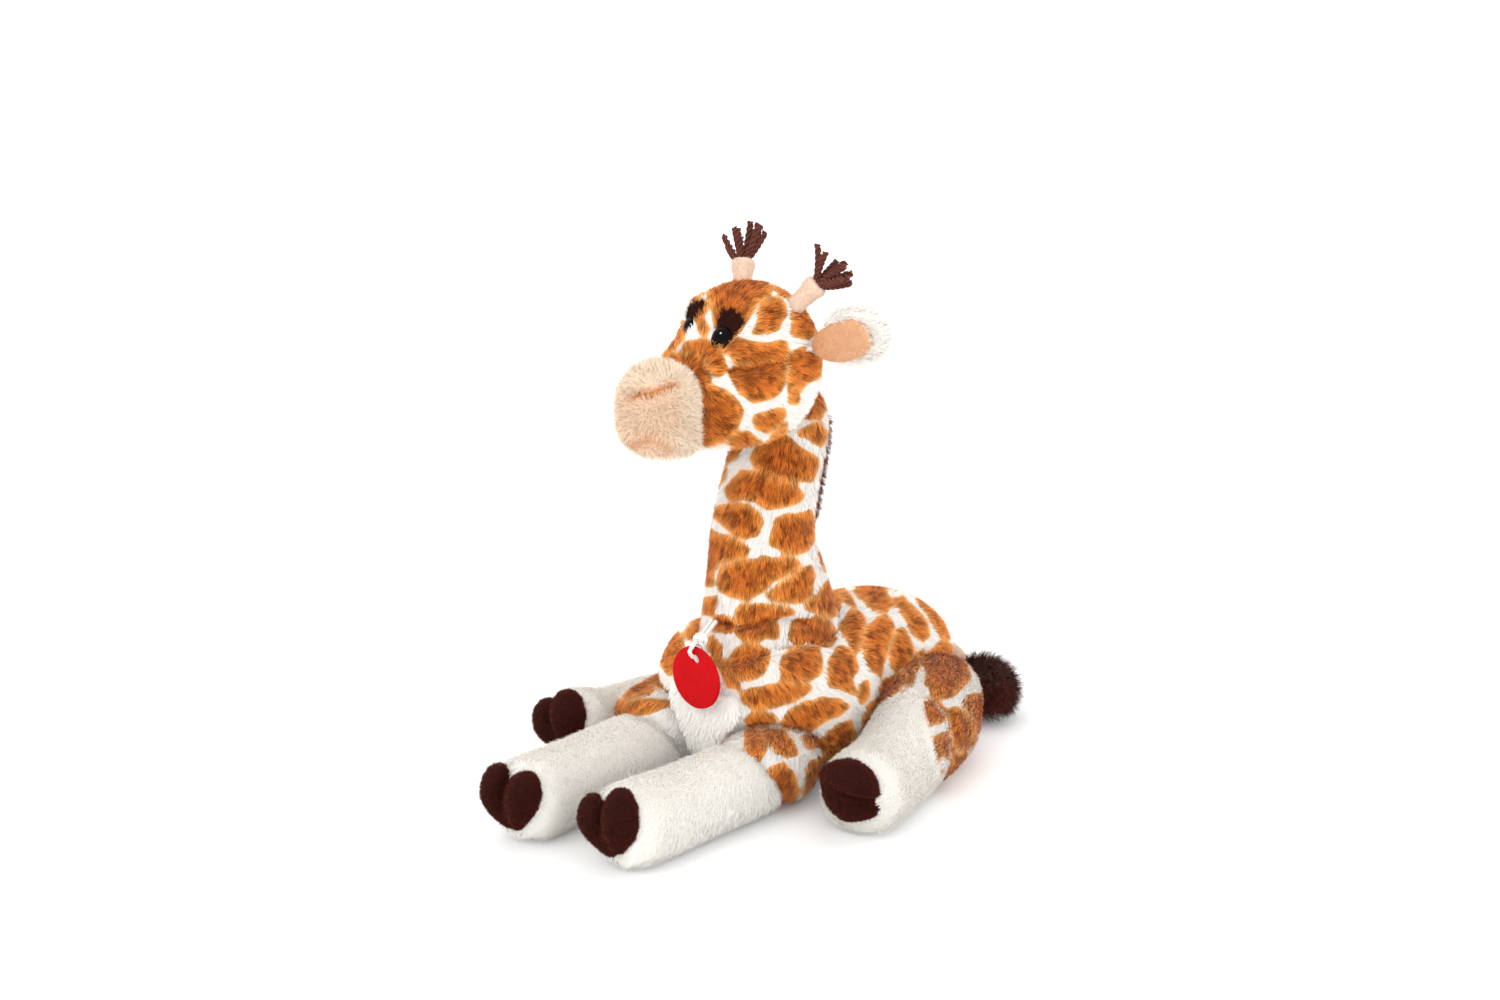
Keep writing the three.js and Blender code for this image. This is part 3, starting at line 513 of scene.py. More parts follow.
def draw_in(node, line, width, depth, shade=1.0):
    """Pulls the skin in along a line drawn in the picture. Pile is short in such a crease, and on a patched skin
    painted shade darkens its tan there.
    """
    mesh = covers[node].data
    co, no = places(mesh), normals(mesh)
    facing = (no * (np.array(camera.location) - co)).sum(axis=1) > 0
    gap = off_line(in_picture(co), line) * PIXEL
    pull = depth * MM * hill(gap, width) * facing
    put_places(mesh, co - no * pull[:, None])
    crease = shade * hill(gap, width * 0.7) * facing
    short_pile_and_shade[node] = np.maximum(short_pile_and_shade.get(node, 0), crease)
    return crease


DART = [(729, 369), (745, 369), (762, 366), (788, 361)]
MOUTH = [(633, 398), (642, 394), (653, 393), (664, 388), (674, 385)]
CHEEK_FOLD = [(712, 350), (724, 366), (734, 384)]
MUZZLE_SEAM = [(694, 352), (701, 372), (704, 400), (703, 425), (700, 440)]
FRONT_SEAM = [(722, 540), (719, 560), (718, 590), (714, 612), (706, 632)]
CHEST_FOLD = [(722, 622), (736, 626), (750, 624), (768, 620), (790, 617), (806, 620)]
CHEST_SHADE = [(744, 634), (776, 631)]
FLANK_FOLDS = [[(850, 620), (852, 660), (858, 700), (864, 740)], [(905, 640), (916, 660), (912, 690)]]
CHIN_FOLD = [(632, 446), (650, 440), (668, 448)]
MUZZLE_FRONT = [(616, 388), (650, 380), (684, 390), (690, 430), (672, 462), (630, 460), (612, 430)]
# The last number scales how short the pile gets in a crease and how much painted shade darkens a patched skin's
# tan there.
draw_in("head", DART, 2.8, 4.6)
draw_in("head", CHEEK_FOLD, 3, 1.5, 0.2)
draw_in("head", MUZZLE_SEAM, 3, 1.5, 0.35)
mouth = draw_in("muzzle", MOUTH, 3.0, 5.0)
chin = draw_in("muzzle", CHIN_FOLD, 5, 1.6)
draw_in("neck", FRONT_SEAM, 2.5, 1.6, 0.0)
draw_in("neck", CHEST_FOLD, 3.2, 5.0)
draw_in("torso", CHEST_FOLD, 3.6, 5.5)
# A wide, shallow crease under the chest fold, there mostly for the painted shade it lays on the tan.
draw_in("torso", CHEST_SHADE, 8, 0.5)

# %% How the covers lie on each other
DRAPED_BY = 0.0014


def drape(node, over, line):
    """Draws a skin over its neighbour right of a line in the picture, where the camera sees it."""
    tree = tree_of(covers[over].data)
    mesh = covers[node].data
    co, no = places(mesh), normals(mesh)
    xy = in_picture(co)
    (ax, ay), (bx, by) = line
    right = ((xy[:, 0] - ax) * (by - ay) - (xy[:, 1] - ay) * (bx - ax)) / math.hypot(bx - ax, by - ay)
    share = np.clip((right + 2) / 8, 0, 1) * ((no @ np.array(towards_camera)) > 0)
    for i in np.flatnonzero(share > 0):
        found = tree.ray_cast(Vector(co[i]) + towards_camera * 0.2, -towards_camera, 0.2)[0]
        if found is not None:
            co[i] += (np.array(found + towards_camera * DRAPED_BY) - co[i]) * share[i]
    put_places(mesh, co)
    relax(covers[node], 2)


drape("thigh_left", "hind_leg_left", [(914, 690), (937, 794)])
# The far leg is half as high at the hip, and the far sleeve and thigh are fitted to it.
FOOT_END, LEG_LONG = -0.095, 0.09
far_leg = covers["hind_leg_right"].data
co = places(far_leg)
co[:, 2] *= 1 - 0.5 * np.clip((co[:, 1] - FOOT_END) / LEG_LONG, 0, 1)
put_places(far_leg, co)
for node, rise, out in (("shoulder_right", 1.2, 1.14), ("thigh_right", 0.8, 1.0)):
    mesh = covers[node].data
    co = places(mesh)
    inner = co[:, 0].max()
    put_places(mesh, (co - [inner, 0, 0]) * [out, 1, rise] + [inner, 0, 0])
for fold in FLANK_FOLDS:
    draw_in("torso", fold, 5, 1.4, 0.0)
SLEEVE_SEAM = [(752, 745), (764, 768), (780, 806)]
THIGH_SEAM = [(930, 652), (918, 700), (925, 740), (936, 795)]
for node in ("front_leg_left", "shoulder_left"):
    draw_in(node, SLEEVE_SEAM, 3, 0.8, 0.15)
for node in ("hind_leg_left", "thigh_left"):
    draw_in(node, THIGH_SEAM, 3, 0.8, 0.15)
print("muzzle is", np.ptp(places(covers["muzzle"].data), axis=0).round(4), "across")

# %% [markdown]
# ## Dyes
# Every finish is a Principled shader fed by two things: what the skin says (how far into a patch a point lies)
# and what the strand says (how high on the strand, and a number of its own). The roots, where light hardly
# reaches, get painted shade, the tips get painted light, and each strand takes the dye a little differently.

# %% Helpers for finishes


def plain(red, green, blue):
    """A colour as a screen shows it, made linear for the shader."""
    shares = [c / 255 for c in (red, green, blue)]
    return tuple(s / 12.92 if s <= 10 / 255 else ((s + 0.055) / 1.055) ** 2.4 for s in shares) + (1,)


def finish(name, roughness=0.85, sheen=0.25, tint=(255, 240, 225), gloss=0.05):
    """A material, its node tree, and its shader's inputs, where the base colour is still to come."""
    dye = bpy.data.materials.new(name)
    tree = nodes_of(dye)
    shader = node_in(tree, "ShaderNodeBsdfPrincipled", {
        "Roughness": roughness, "Sheen Weight": sheen, "Sheen Roughness": 0.5, "Sheen Tint": plain(*tint),
        "Specular IOR Level": gloss,
    })
    node_in(tree, "ShaderNodeOutputMaterial", {0: shader.outputs[0]})
    return dye, tree, shader.inputs


def attribute(tree, name):
    """What the skin or the strand says under a name."""
    return node_in(tree, "ShaderNodeAttribute", attribute_name=name).outputs["Fac"]


def ramp(tree, share, stops):
    """A run of colours, each at its place between 0 and 1."""
    node = node_in(tree, "ShaderNodeValToRGB", {"Fac": share})
    line = node.color_ramp
    while len(line.elements) < len(stops):
        line.elements.new(0.5)
    for element, (place, colour) in zip(line.elements, stops):
        element.position = place
        element.color = colour
    return node.outputs[0]


def blended(tree, share, a, b, kind="MIX"):
    """One colour laid over another, by a share."""
    into = {"Factor": share, 6: a, 7: b}
    return node_in(tree, "ShaderNodeMix", into, data_type="RGBA", blend_type=kind).outputs[2]


def shaded_by_strand(tree, colour, deep, pale, spread):
    """Painted shade darkens the roots and painted light brightens the tips, and each strand shifts by its own
    number.
    """
    level = maths(tree, "ADD", maths(tree, "MULTIPLY", attribute(tree, "high"), pale - deep), deep)
    level = maths(tree, "ADD", level, maths(tree, "MULTIPLY", attribute(tree, "own"), spread))
    grey = node_in(tree, "ShaderNodeCombineColor", {0: level, 1: level, 2: level}).outputs[0]
    return blended(tree, 1.0, colour, grey, "MULTIPLY")


def streaks(tree, size, stretch=(1, 1, 1)):
    """Noise, drawn out along one direction where plush is seen through its pile."""
    where = node_in(tree, "ShaderNodeTexCoord").outputs["Object"]
    where = node_in(tree, "ShaderNodeMapping", {"Vector": where, "Scale": stretch}).outputs[0]
    return node_in(tree, "ShaderNodeTexNoise", {"Vector": where, "Scale": size, "Detail": 3}).outputs["Fac"]


# %% Plush finishes
WARM_WHITE = plain(253, 250, 245)
TAN_BY_DEPTH = [
    # share of twelve millimetres into a patch: colour. The last, darkest stop is painted shade, which only
    # creases reach.
    (0.0, WARM_WHITE), (0.02, WARM_WHITE), (0.045, plain(248, 192, 126)), (0.14, plain(236, 158, 80)),
    (0.4, plain(218, 128, 52)), (0.8, plain(196, 102, 36)), (1.0, plain(122, 52, 16)),
]
DARKEST_TAN, STAIN = plain(150, 68, 20), plain(234, 160, 86)


def spotted(name):
    """Tan patches on white: pale at a patch's edge, darker and streaked inside it."""
    dye, tree, shader = finish(name)

    def times(a, b, clamp=False):
        return maths(tree, "MULTIPLY", a, b, clamp)

    own = attribute(tree, "own")
    depth = maths(tree, "ADD", attribute(tree, "coat"), times(own, 0.7))
    uneven = times(streaks(tree, 90, (1, 1, 0.4)), 2.2)
    inside = times(maths(tree, "DIVIDE", depth, 3.0, True), uneven)
    depth = maths(tree, "DIVIDE", maths(tree, "ADD", depth, inside), 12.0, True)
    dark = times(times(own, -2.6, True), times(depth, 2.5, True))
    streaked = blended(tree, dark, ramp(tree, depth, TAN_BY_DEPTH), DARKEST_TAN)
    # Painted shade takes the tan's roots down by half and painted light lifts its tips; the white ground gets
    # milder painted shade.
    tan = shaded_by_strand(tree, streaked, 0.52, 1.2, 0.85)
    ground = shaded_by_strand(tree, WARM_WHITE, 0.84, 1.0, 0.14)
    tree.links.new(blended(tree, times(depth, 20.0, True), ground, tan), shader["Base Color"])
    return dye


def one_colour(name, colour, other, deep=0.6, pale=1.05, size=60, spread=0.3, **more):
    """A plain cloth whose dye wanders between two colours. Muzzle and linings are stained in places."""
    dye, tree, shader = finish(name, **more)
    mixed = blended(tree, streaks(tree, size), plain(*colour), plain(*other))
    if name in ("muzzle_plush", "lining_velour"):
        mixed = blended(tree, attribute(tree, "coat"), mixed, STAIN)
    tree.links.new(shaded_by_strand(tree, mixed, deep, pale, spread), shader["Base Color"])
    return dye


RED_BROWN, PALE_BROWN = (190, 90, 70), (200, 130, 120)
CLOTHS = {
    # name: (colour, the other colour, and what else one_colour is told)
    "white_plush": ((254, 252, 248), (251, 249, 243), dict(deep=0.97, pale=1.0, spread=0.06)),
    "muzzle_plush": ((246, 232, 214), (243, 222, 196), dict(deep=0.9, pale=1.0, spread=0.24)),
    "mane_plush": ((84, 42, 34), (120, 64, 50), dict(deep=0.5)),
    "tan_velour": ((236, 212, 192), (228, 196, 172), dict(deep=0.88, pale=1.0, spread=0.2)),
    "lining_velour": ((226, 178, 140), (217, 163, 122), dict(deep=0.88, pale=1.0, spread=0.15)),
    "brown_velour": ((38, 10, 7), (64, 24, 17), dict(pale=1.1, size=300, sheen=0.45, tint=RED_BROWN)),
    "tail_plush": ((58, 18, 11), (96, 42, 30), dict(deep=0.5, sheen=0.1)),
    "lash_velour": ((44, 16, 12), (66, 28, 22), dict(sheen=0.2, tint=PALE_BROWN)),
}
finishes = {"spotted_plush": spotted("spotted_plush")}
for name, (colour, other, settings) in CLOTHS.items():
    finishes[name] = one_colour(name, colour, other, **settings)
print("finishes:", list(finishes))

# %% [markdown]
# ## Eyes
# The eyes are safety eyes: a glossy dome of black plastic on a shank, held by a washer inside the head.
# A sphere cut by the skin would do for the dome, but turning its real outline gives the thin rim too.

# %% Turn the eyes
plastic, tree, shader = finish("black_gloss", roughness=0.05, sheen=0.0, gloss=0.1)
tree.links.new(blended(tree, streaks(tree, 500), plain(4, 3, 3), plain(9, 6, 5)), shader["Base Color"])
# Millimetres: the dome's radius and height, the rim under it, the shank's radius and its end, and how far
# below the top of the solid its widest part lies.
EYE = {"radius": 6.0, "dome": 4.6, "rim": 0.8, "shank": 1.5, "shank_end": -3.5, "widest": 4.5}


def piece_from(bm, name, material, body, node_replaced):
    """Makes a piece of a shape: it rides a body, and stands for one of the solids."""
    mesh = bpy.data.meshes.new(name)
    bm.to_mesh(mesh)
    bm.free()
    mesh.materials.append(material)
    mesh.shade_smooth()
    piece = bpy.data.objects.new(name, mesh)
    scene.collection.objects.link(piece)
    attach(piece, body)
    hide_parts(node_replaced)
    return piece


def eye_way(side):
    """The way an eye looks."""
    return (Matrix.Rotation(HEAD_TURN, 3, "Z") @ Vector((side * 0.5, -1, 0.3))).normalized()


def dome(side, word):
    """Turns an eye's outline round its axis and sets it where the solid's eye is."""
    co = places(frame["nodes"]["eye_" + word].data)
    out = eye_way(side)
    along = co @ np.array(out)
    widest = co[np.abs(along - (along.max() - EYE["widest"] * MM)) < 0.0007]
    centre = Vector((widest.max(axis=0) + widest.min(axis=0)) / 2)
    bm = bmesh.new()
    radius, shank = EYE["radius"], EYE["shank"]
    outline = [(0.0, EYE["shank_end"]), (shank, EYE["shank_end"]), (shank, -EYE["rim"])]
    outline += [(radius - 0.3, -EYE["rim"]), (radius, -EYE["rim"] * 0.5)]
    for step in range(13):
        angle = math.pi / 2 * step / 12
        outline.append((radius * math.cos(angle), EYE["dome"] * math.sin(angle)))
    points = [bm.verts.new((x * MM, 0, z * MM)) for x, z in outline]
    edges = [bm.edges.new(pair) for pair in zip(points, points[1:])]
    bmesh.ops.spin(
        bm, geom=points + edges, cent=(0, 0, 0), axis=(0, 0, 1), angle=math.tau, steps=40, use_merge=True
    )
    bmesh.ops.remove_doubles(bm, verts=bm.verts, dist=1e-6)
    bmesh.ops.recalc_face_normals(bm, faces=bm.faces)
    turn = out.to_track_quat("Z", "Y").to_matrix().to_4x4()
    bmesh.ops.transform(bm, matrix=Matrix.Translation(centre) @ turn, verts=bm.verts)
    return piece_from(bm, "eye_dome_" + word, plastic, "head", "eye_" + word)


domes = {side: dome(side, word) for side, word in SIDES}
print("eyes:", [o.name for o in domes.values()])

# %% [markdown]
# ## Lash patches
# A scrap of dark velour is sewn above and round each eye, its upper edge cut into points. A fine grid is
# thrown onto the head along the eye's own direction, so it follows the head, and cut to the patch's
# outline. Then it is lifted a little, and given a thickness and a short nap.

# %% Lay the patches on the head
LASH = [  # millimetres from the middle of the eye, for the left one
    (-5.6, -3.2), (-5.6, 1), (-5.2, 8), (-5.0, 15.0), (-3.2, 16.6), (-1.6, 13.6), (0.6, 16.0), (3.4, 16.4),
    (4.2, 13.2), (7.0, 14.6), (8.4, 11.6), (11.0, 10.8), (9.0, 5.5), (6.8, 1), (5.2, -2.6), (3.4, -5.4),
    (0, -6.4), (-4.4, -5.6),
]
GRID_WIDE, GRID_TALL, GRID_UP = 22, 28, 5  # millimetres, and how far the grid's middle is above the eye
LASH_LIFT, LASH_THICK = 0.0009, 0.0011
head_tree = tree_of(covers["head"].data)


def lash_patch(side, word):
    """Lays a patch round one eye. The far one is cut off level with the eye."""
    out = eye_way(side)
    centre = sum((v.co for v in domes[side].data.vertices), Vector()) / len(domes[side].data.vertices)
    up = (Vector((0, 0, 1)) - out * out.z).normalized()
    across = up.cross(out).normalized()
    bm = bmesh.new()
    bmesh.ops.create_grid(bm, x_segments=40, y_segments=52, size=0.5)
    drop = []
    for v in bm.verts:
        x, y = v.co.x * GRID_WIDE, v.co.y * GRID_TALL + GRID_UP
        spot = centre + across * (x * MM) + up * (y * MM) + out * 0.02
        found = head_tree.ray_cast(spot, -out, 0.05)[0]
        v.co = found + out * LASH_LIFT if found is not None else spot
        outside = depth_in_outline(np.array([[x * side, y]]), LASH)[0] < 0
        if outside or found is None or (side < 0 and y < 1):
            drop.append(v)
    bmesh.ops.delete(bm, geom=drop, context="VERTS")
    smooth(bm, [v for v in bm.verts if v.is_boundary])
    bmesh.ops.recalc_face_normals(bm, faces=bm.faces)
    if sum((f.normal for f in bm.faces), Vector()).dot(out) < 0:
        bmesh.ops.reverse_faces(bm, faces=bm.faces)
    bmesh.ops.solidify(bm, geom=bm.faces, thickness=LASH_THICK)
    bmesh.ops.recalc_face_normals(bm, faces=bm.faces)
    node = "lash_patch_" + word
    patch = piece_from(bm, "lash_" + word, finishes["lash_velour"], "head", node)
    covers[node] = patch
    return patch


lashes = {side: lash_patch(side, word) for side, word in SIDES}
print("lash patches:", [len(o.data.vertices) for o in lashes.values()])

# %% [markdown]
# ## The coat
# Patches of tan on a white ground, printed on the plush. They could be a Voronoi texture, but the patches
# of the real toy are laid out by hand: long ones run round the neck, small ones crowd the face. So each
# patch in the picture is given as a rough outline in the picture's own pixels and thrown onto the skin
# from the camera, and round the far side, which the picture doesn't show, cells of the same size carry on.

# %% Patches listed
HEAD_PATCHES = [
    [(690, 302), (694, 290), (703, 281), (710, 281), (706, 294), (698, 304)],
    [(713, 283), (722, 272), (745, 270), (764, 275), (771, 287), (769, 299), (757, 304), (750, 318), (741, 332),
     (732, 338), (722, 337), (716, 328), (714, 314), (712, 304), (709, 297)],
    [(698, 306), (706, 301), (710, 308), (706, 320), (710, 330), (707, 339), (700, 334), (699, 320)],
    [(762, 304), (775, 299), (783, 305), (785, 317), (778, 327), (766, 334), (751, 336), (757, 324)],
    [(772, 283), (782, 284), (790, 296), (782, 300), (774, 292)],
    [(791, 306), (799, 303), (807, 314), (812, 326), (809, 338), (799, 339), (790, 335), (790, 318)],
    [(722, 344), (738, 338), (752, 343), (768, 344), (785, 341), (787, 352), (784, 360), (770, 360), (757, 364),
     (744, 362), (736, 364), (731, 356), (725, 352)],
    [(727, 372), (738, 367), (757, 366), (777, 362), (784, 366), (784, 382), (778, 393), (765, 399), (748, 399),
     (739, 391), (734, 381)],
    [(788, 363), (791, 351), (800, 348), (809, 345), (816, 352), (817, 371), (812, 377), (804, 378), (800, 383),
     (795, 386), (793, 401), (786, 402), (787, 388)],
    [(703, 384), (709, 386), (713, 385), (722, 388), (732, 394), (738, 402), (741, 412), (738, 424), (733, 432),
     (722, 440), (704, 440), (705, 420)],
    [(680, 354), (688, 343), (701, 341), (716, 345), (721, 352), (725, 362), (723, 374), (717, 379), (712, 370),
     (704, 361), (694, 354)],
    [(664, 358), (676, 338), (680, 322), (689, 330), (686, 341), (674, 353)],
    [(656, 366), (670, 355), (692, 356), (701, 362), (708, 370), (711, 379), (706, 385), (690, 388), (666, 378)],
    [(752, 418), (765, 410), (782, 406), (784, 415), (778, 424), (765, 432), (756, 427)],
    [(726, 441), (737, 430), (747, 428), (753, 435), (762, 440), (752, 446), (735, 446)],
    [(764, 441), (772, 432), (781, 422), (787, 420), (782, 431), (775, 438)],
]
NECK_PATCHES = [
    [(788, 416), (800, 402), (811, 385), (820, 378), (822, 418), (806, 420), (792, 420)],
    [(796, 431), (806, 426), (820, 422), (822, 434), (816, 447), (806, 438), (797, 436)],
    [(753, 456), (762, 446), (776, 436), (790, 436), (800, 446), (814, 457), (812, 470), (806, 482), (798, 482),
     (780, 479), (765, 474), (753, 465)],
    [(725, 466), (727, 452), (732, 441), (744, 443), (742, 452), (735, 462), (729, 465)],
    [(712, 496), (719, 480), (724, 467), (730, 468), (730, 476), (722, 487)],
    [(726, 490), (735, 478), (745, 470), (760, 472), (780, 480), (795, 484), (800, 492), (796, 503), (780, 508),
     (766, 510), (758, 504), (745, 500), (732, 501), (727, 496)],
    [(717, 516), (724, 505), (735, 503), (750, 506), (760, 513), (763, 524), (758, 534), (748, 539), (738, 536),
     (726, 527)],
    [(771, 545), (771, 532), (776, 518), (785, 513), (808, 512), (811, 525), (807, 548), (798, 554), (783, 554)],
    [(700, 538), (718, 531), (730, 536), (744, 543), (752, 549), (748, 556), (738, 559), (722, 563), (716, 572),
     (716, 588), (696, 584)],
    [(721, 568), (740, 561), (765, 558), (790, 557), (800, 562), (795, 570), (775, 580), (762, 592), (748, 600),
     (735, 598), (724, 592), (718, 586)],
    [(763, 595), (775, 586), (790, 577), (800, 568), (808, 564), (813, 575), (811, 592), (802, 602), (785, 603),
     (770, 600)],
]
BODY_PATCHES = [
    [(736, 612), (740, 604), (760, 603), (780, 606), (796, 609), (787, 614), (770, 619), (750, 623), (738, 620)],
    [(700, 604), (708, 600), (719, 594), (721, 600), (716, 614), (708, 616), (701, 612)],
    [(684, 614), (692, 602), (700, 608), (704, 618), (699, 627), (690, 624)],
    [(800, 607), (810, 598), (822, 584), (828, 580), (834, 592), (840, 604), (838, 616), (830, 617), (815, 613)],
    [(816, 554), (828, 560), (837, 575), (830, 577), (820, 571)],
    [(837, 586), (846, 594), (856, 609), (850, 610), (842, 600)],
    [(664, 660), (668, 634), (674, 626), (682, 638), (684, 647), (678, 657), (672, 672)],
    [(686, 634), (692, 628), (700, 627), (700, 636), (690, 641)],
    [(713, 632), (716, 616), (725, 614), (736, 619), (737, 631), (728, 634), (718, 633)],
    [(738, 628), (748, 624), (765, 620), (779, 621), (778, 636), (765, 638), (755, 642), (742, 640), (736, 636)],
    [(787, 632), (792, 622), (800, 618), (818, 616), (828, 621), (834, 631), (836, 642), (828, 647), (815, 648),
     (795, 646), (788, 640)],
    [(727, 668), (731, 655), (737, 648), (745, 643), (762, 644), (767, 650), (765, 664), (758, 677), (748, 681),
     (736, 677)],
    [(708, 636), (716, 638), (724, 648), (722, 656), (727, 670), (740, 682), (742, 690), (730, 684), (716, 660)],
    [(780, 680), (783, 664), (790, 652), (800, 648), (818, 649), (820, 660), (818, 675), (812, 680), (795, 681)],
    [(826, 674), (828, 662), (835, 650), (843, 648), (852, 656), (855, 666), (850, 680), (853, 695), (838, 690),
     (828, 684)],
    [(742, 694), (752, 688), (770, 686), (785, 682), (800, 684), (810, 687), (806, 693), (795, 700), (775, 706),
     (755, 708), (745, 702)],
    [(780, 722), (790, 710), (805, 703), (820, 700), (838, 700), (846, 705), (838, 714), (822, 720), (812, 728),
     (800, 733), (785, 729)],
    [(748, 714), (760, 711), (775, 715), (776, 720), (766, 727), (752, 728), (748, 722)],
    [(820, 737), (828, 728), (838, 722), (848, 720), (853, 732), (850, 746), (840, 748), (830, 744)],
    [(863, 718), (866, 706), (874, 698), (882, 702), (887, 712), (886, 724), (878, 732), (866, 740), (858, 746),
     (857, 733)],
    [(877, 690), (880, 682), (890, 676), (901, 674), (904, 682), (897, 692), (888, 703), (882, 705)],
    [(905, 693), (911, 700), (903, 716), (896, 730), (886, 738), (890, 724), (897, 710)],
    [(863, 642), (866, 630), (875, 620), (886, 617), (892, 626), (888, 640), (884, 650), (882, 662), (878, 676),
     (870, 672), (864, 660)],
    [(889, 650), (893, 640), (898, 630), (902, 628), (908, 640), (912, 650), (908, 660), (902, 672), (892, 670),
     (888, 662)],
    [(841, 624), (848, 614), (858, 613), (864, 622), (860, 634), (858, 650), (855, 655), (848, 645), (843, 636)],
    [(853, 594), (862, 586), (878, 588), (887, 596), (892, 607), (886, 614), (874, 612), (864, 604)],
    [(893, 602), (900, 600), (912, 610), (924, 624), (928, 638), (922, 642), (913, 636), (905, 622)],
    [(916, 600), (930, 608), (944, 622), (950, 640), (938, 637), (930, 624), (920, 610)],
    [(925, 656), (934, 646), (941, 640), (950, 648), (958, 660), (964, 676), (959, 690), (947, 698), (934, 696),
     (928, 680)],
    [(904, 682), (908, 668), (914, 656), (922, 648), (920, 664), (914, 678), (909, 688)],
    [(858, 684), (866, 680), (867, 694), (860, 704), (856, 697)],
]
THIGH_PATCHES = [
    [(918, 722), (922, 703), (935, 699), (941, 706), (946, 714), (938, 723), (926, 724)],
    [(948, 712), (955, 708), (965, 716), (972, 728), (970, 740), (962, 750), (955, 744), (948, 730)],
    [(962, 704), (968, 698), (980, 700), (988, 715), (985, 730), (978, 732), (974, 722), (968, 712)],
    [(938, 742), (942, 734), (950, 745), (955, 757), (949, 760), (942, 753)],
    [(956, 757), (964, 754), (962, 768), (952, 780), (944, 786), (938, 792), (932, 798), (935, 782), (946, 770)],
]
NEAR_SLEEVE_PATCHES = [
    [(746, 732), (755, 727), (764, 740), (766, 752), (756, 758), (749, 746)],
    [(763, 729), (780, 730), (792, 740), (796, 752), (788, 758), (776, 754), (766, 742)],
    [(800, 738), (812, 734), (828, 738), (839, 750), (834, 757), (820, 750), (805, 746)],
    [(772, 770), (782, 762), (795, 778), (798, 790), (790, 804), (778, 812), (773, 790)],
    [(804, 776), (812, 762), (826, 753), (828, 762), (816, 776), (811, 790), (806, 804), (802, 792)],
]
FAR_SLEEVE_PATCHES = [
    [(624, 696), (632, 684), (642, 678), (650, 684), (654, 694), (640, 697), (628, 699)],
    [(646, 676), (654, 672), (662, 681), (670, 691), (660, 689), (652, 683)],
    [(602, 722), (618, 702), (634, 702), (650, 701), (670, 703), (652, 709), (630, 712), (612, 726)],
]
painted = {
    "head": HEAD_PATCHES,
    "neck": NECK_PATCHES + BODY_PATCHES,
    "torso": NECK_PATCHES + BODY_PATCHES + THIGH_PATCHES + NEAR_SLEEVE_PATCHES,
    "thigh_left": BODY_PATCHES + THIGH_PATCHES,
    "shoulder_left": BODY_PATCHES + NEAR_SLEEVE_PATCHES,
    "shoulder_right": BODY_PATCHES + FAR_SLEEVE_PATCHES,
    "thigh_right": [],
}
by_hand = HEAD_PATCHES, NECK_PATCHES, BODY_PATCHES, THIGH_PATCHES, NEAR_SLEEVE_PATCHES, FAR_SLEEVE_PATCHES
print("patches by hand:", sum(len(part) for part in by_hand))


# %% What covers what
LOOSE = ("tag_disc", "tag_cord", "tag_knot")
NOT_IN_THE_WAY = LOOSE + ("eye_left", "lash_patch_left", "lash_patch_right")
NEAR = 8 * MM
trees, reach = {}, {}
for node, solid in frame["nodes"].items():
    source = covers.get(node, solid).data
    trees[node] = tree_of(source)
    spots = places(source)
    reach[node] = (spots.min(axis=0) - NEAR, spots.max(axis=0) + NEAR)


def covered(node, co, no, depth):
    """1 where a neighbour lies within depth outwards of the skin, else 0."""
    hit = np.zeros(len(co))
    for other, tree in trees.items():
        if other == node or other in LOOSE:
            continue
        low, high = reach[other]
        close = np.flatnonzero(((co > low) & (co < high)).all(axis=1) & (hit == 0))
        for i in close:
            start = Vector(co[i])
            if tree.ray_cast(start, Vector(no[i]), depth)[0] is not None:
                hit[i] = 1
    return hit


def in_view(node, co, no):
    """True where the camera sees the skin."""
    eye = np.array(camera.location)
    line = eye - co
    line /= np.linalg.norm(line, axis=1, keepdims=True)
    seen = (no * line).sum(axis=1) > 0.06
    for i in np.flatnonzero(seen):
        start, way = Vector(co[i] + no[i] * 0.0015), Vector(line[i])
        for other in trees:
            if other not in NOT_IN_THE_WAY and trees[other].ray_cast(start, way, 0.5)[0] is not None:
                seen[i] = False
                break
    return seen


# %% Coat
# Metres, for the patches on the far side: how far a new one starts from the others and from the white that
# the picture shows, how big its core is, and how far it reaches from it.
CELL = {"apart": 0.0165, "off_white": 0.004, "core": 0.0075, "reach": 0.014}
STARTS = 6000  # places tried for a new patch
WIDER = {"neck": 0.5, "torso": 1.1, "thigh_left": 1.5}  # millimetres that the listed patches grow, 0.9 elsewhere
BROAD, HALF_LINE = 1.8, 1.9  # how much more they grow where that leaves a white line, and half its width
DEEPEST = 7.5  # the tan gets no darker further into a patch
CREASE_SHADE = 12  # but painted shade makes it darker in a crease


def ripple(co, size, seed):
    """A smooth wandering offset, made of a few sine waves, the same every time."""
    rng = np.random.default_rng(seed)
    out = np.zeros_like(co)
    for _ in range(5):
        wave = rng.normal(size=(3, 3)) / size
        out += np.sin(co @ wave + rng.uniform(0, 6.3, 3))
    return out / 2.2


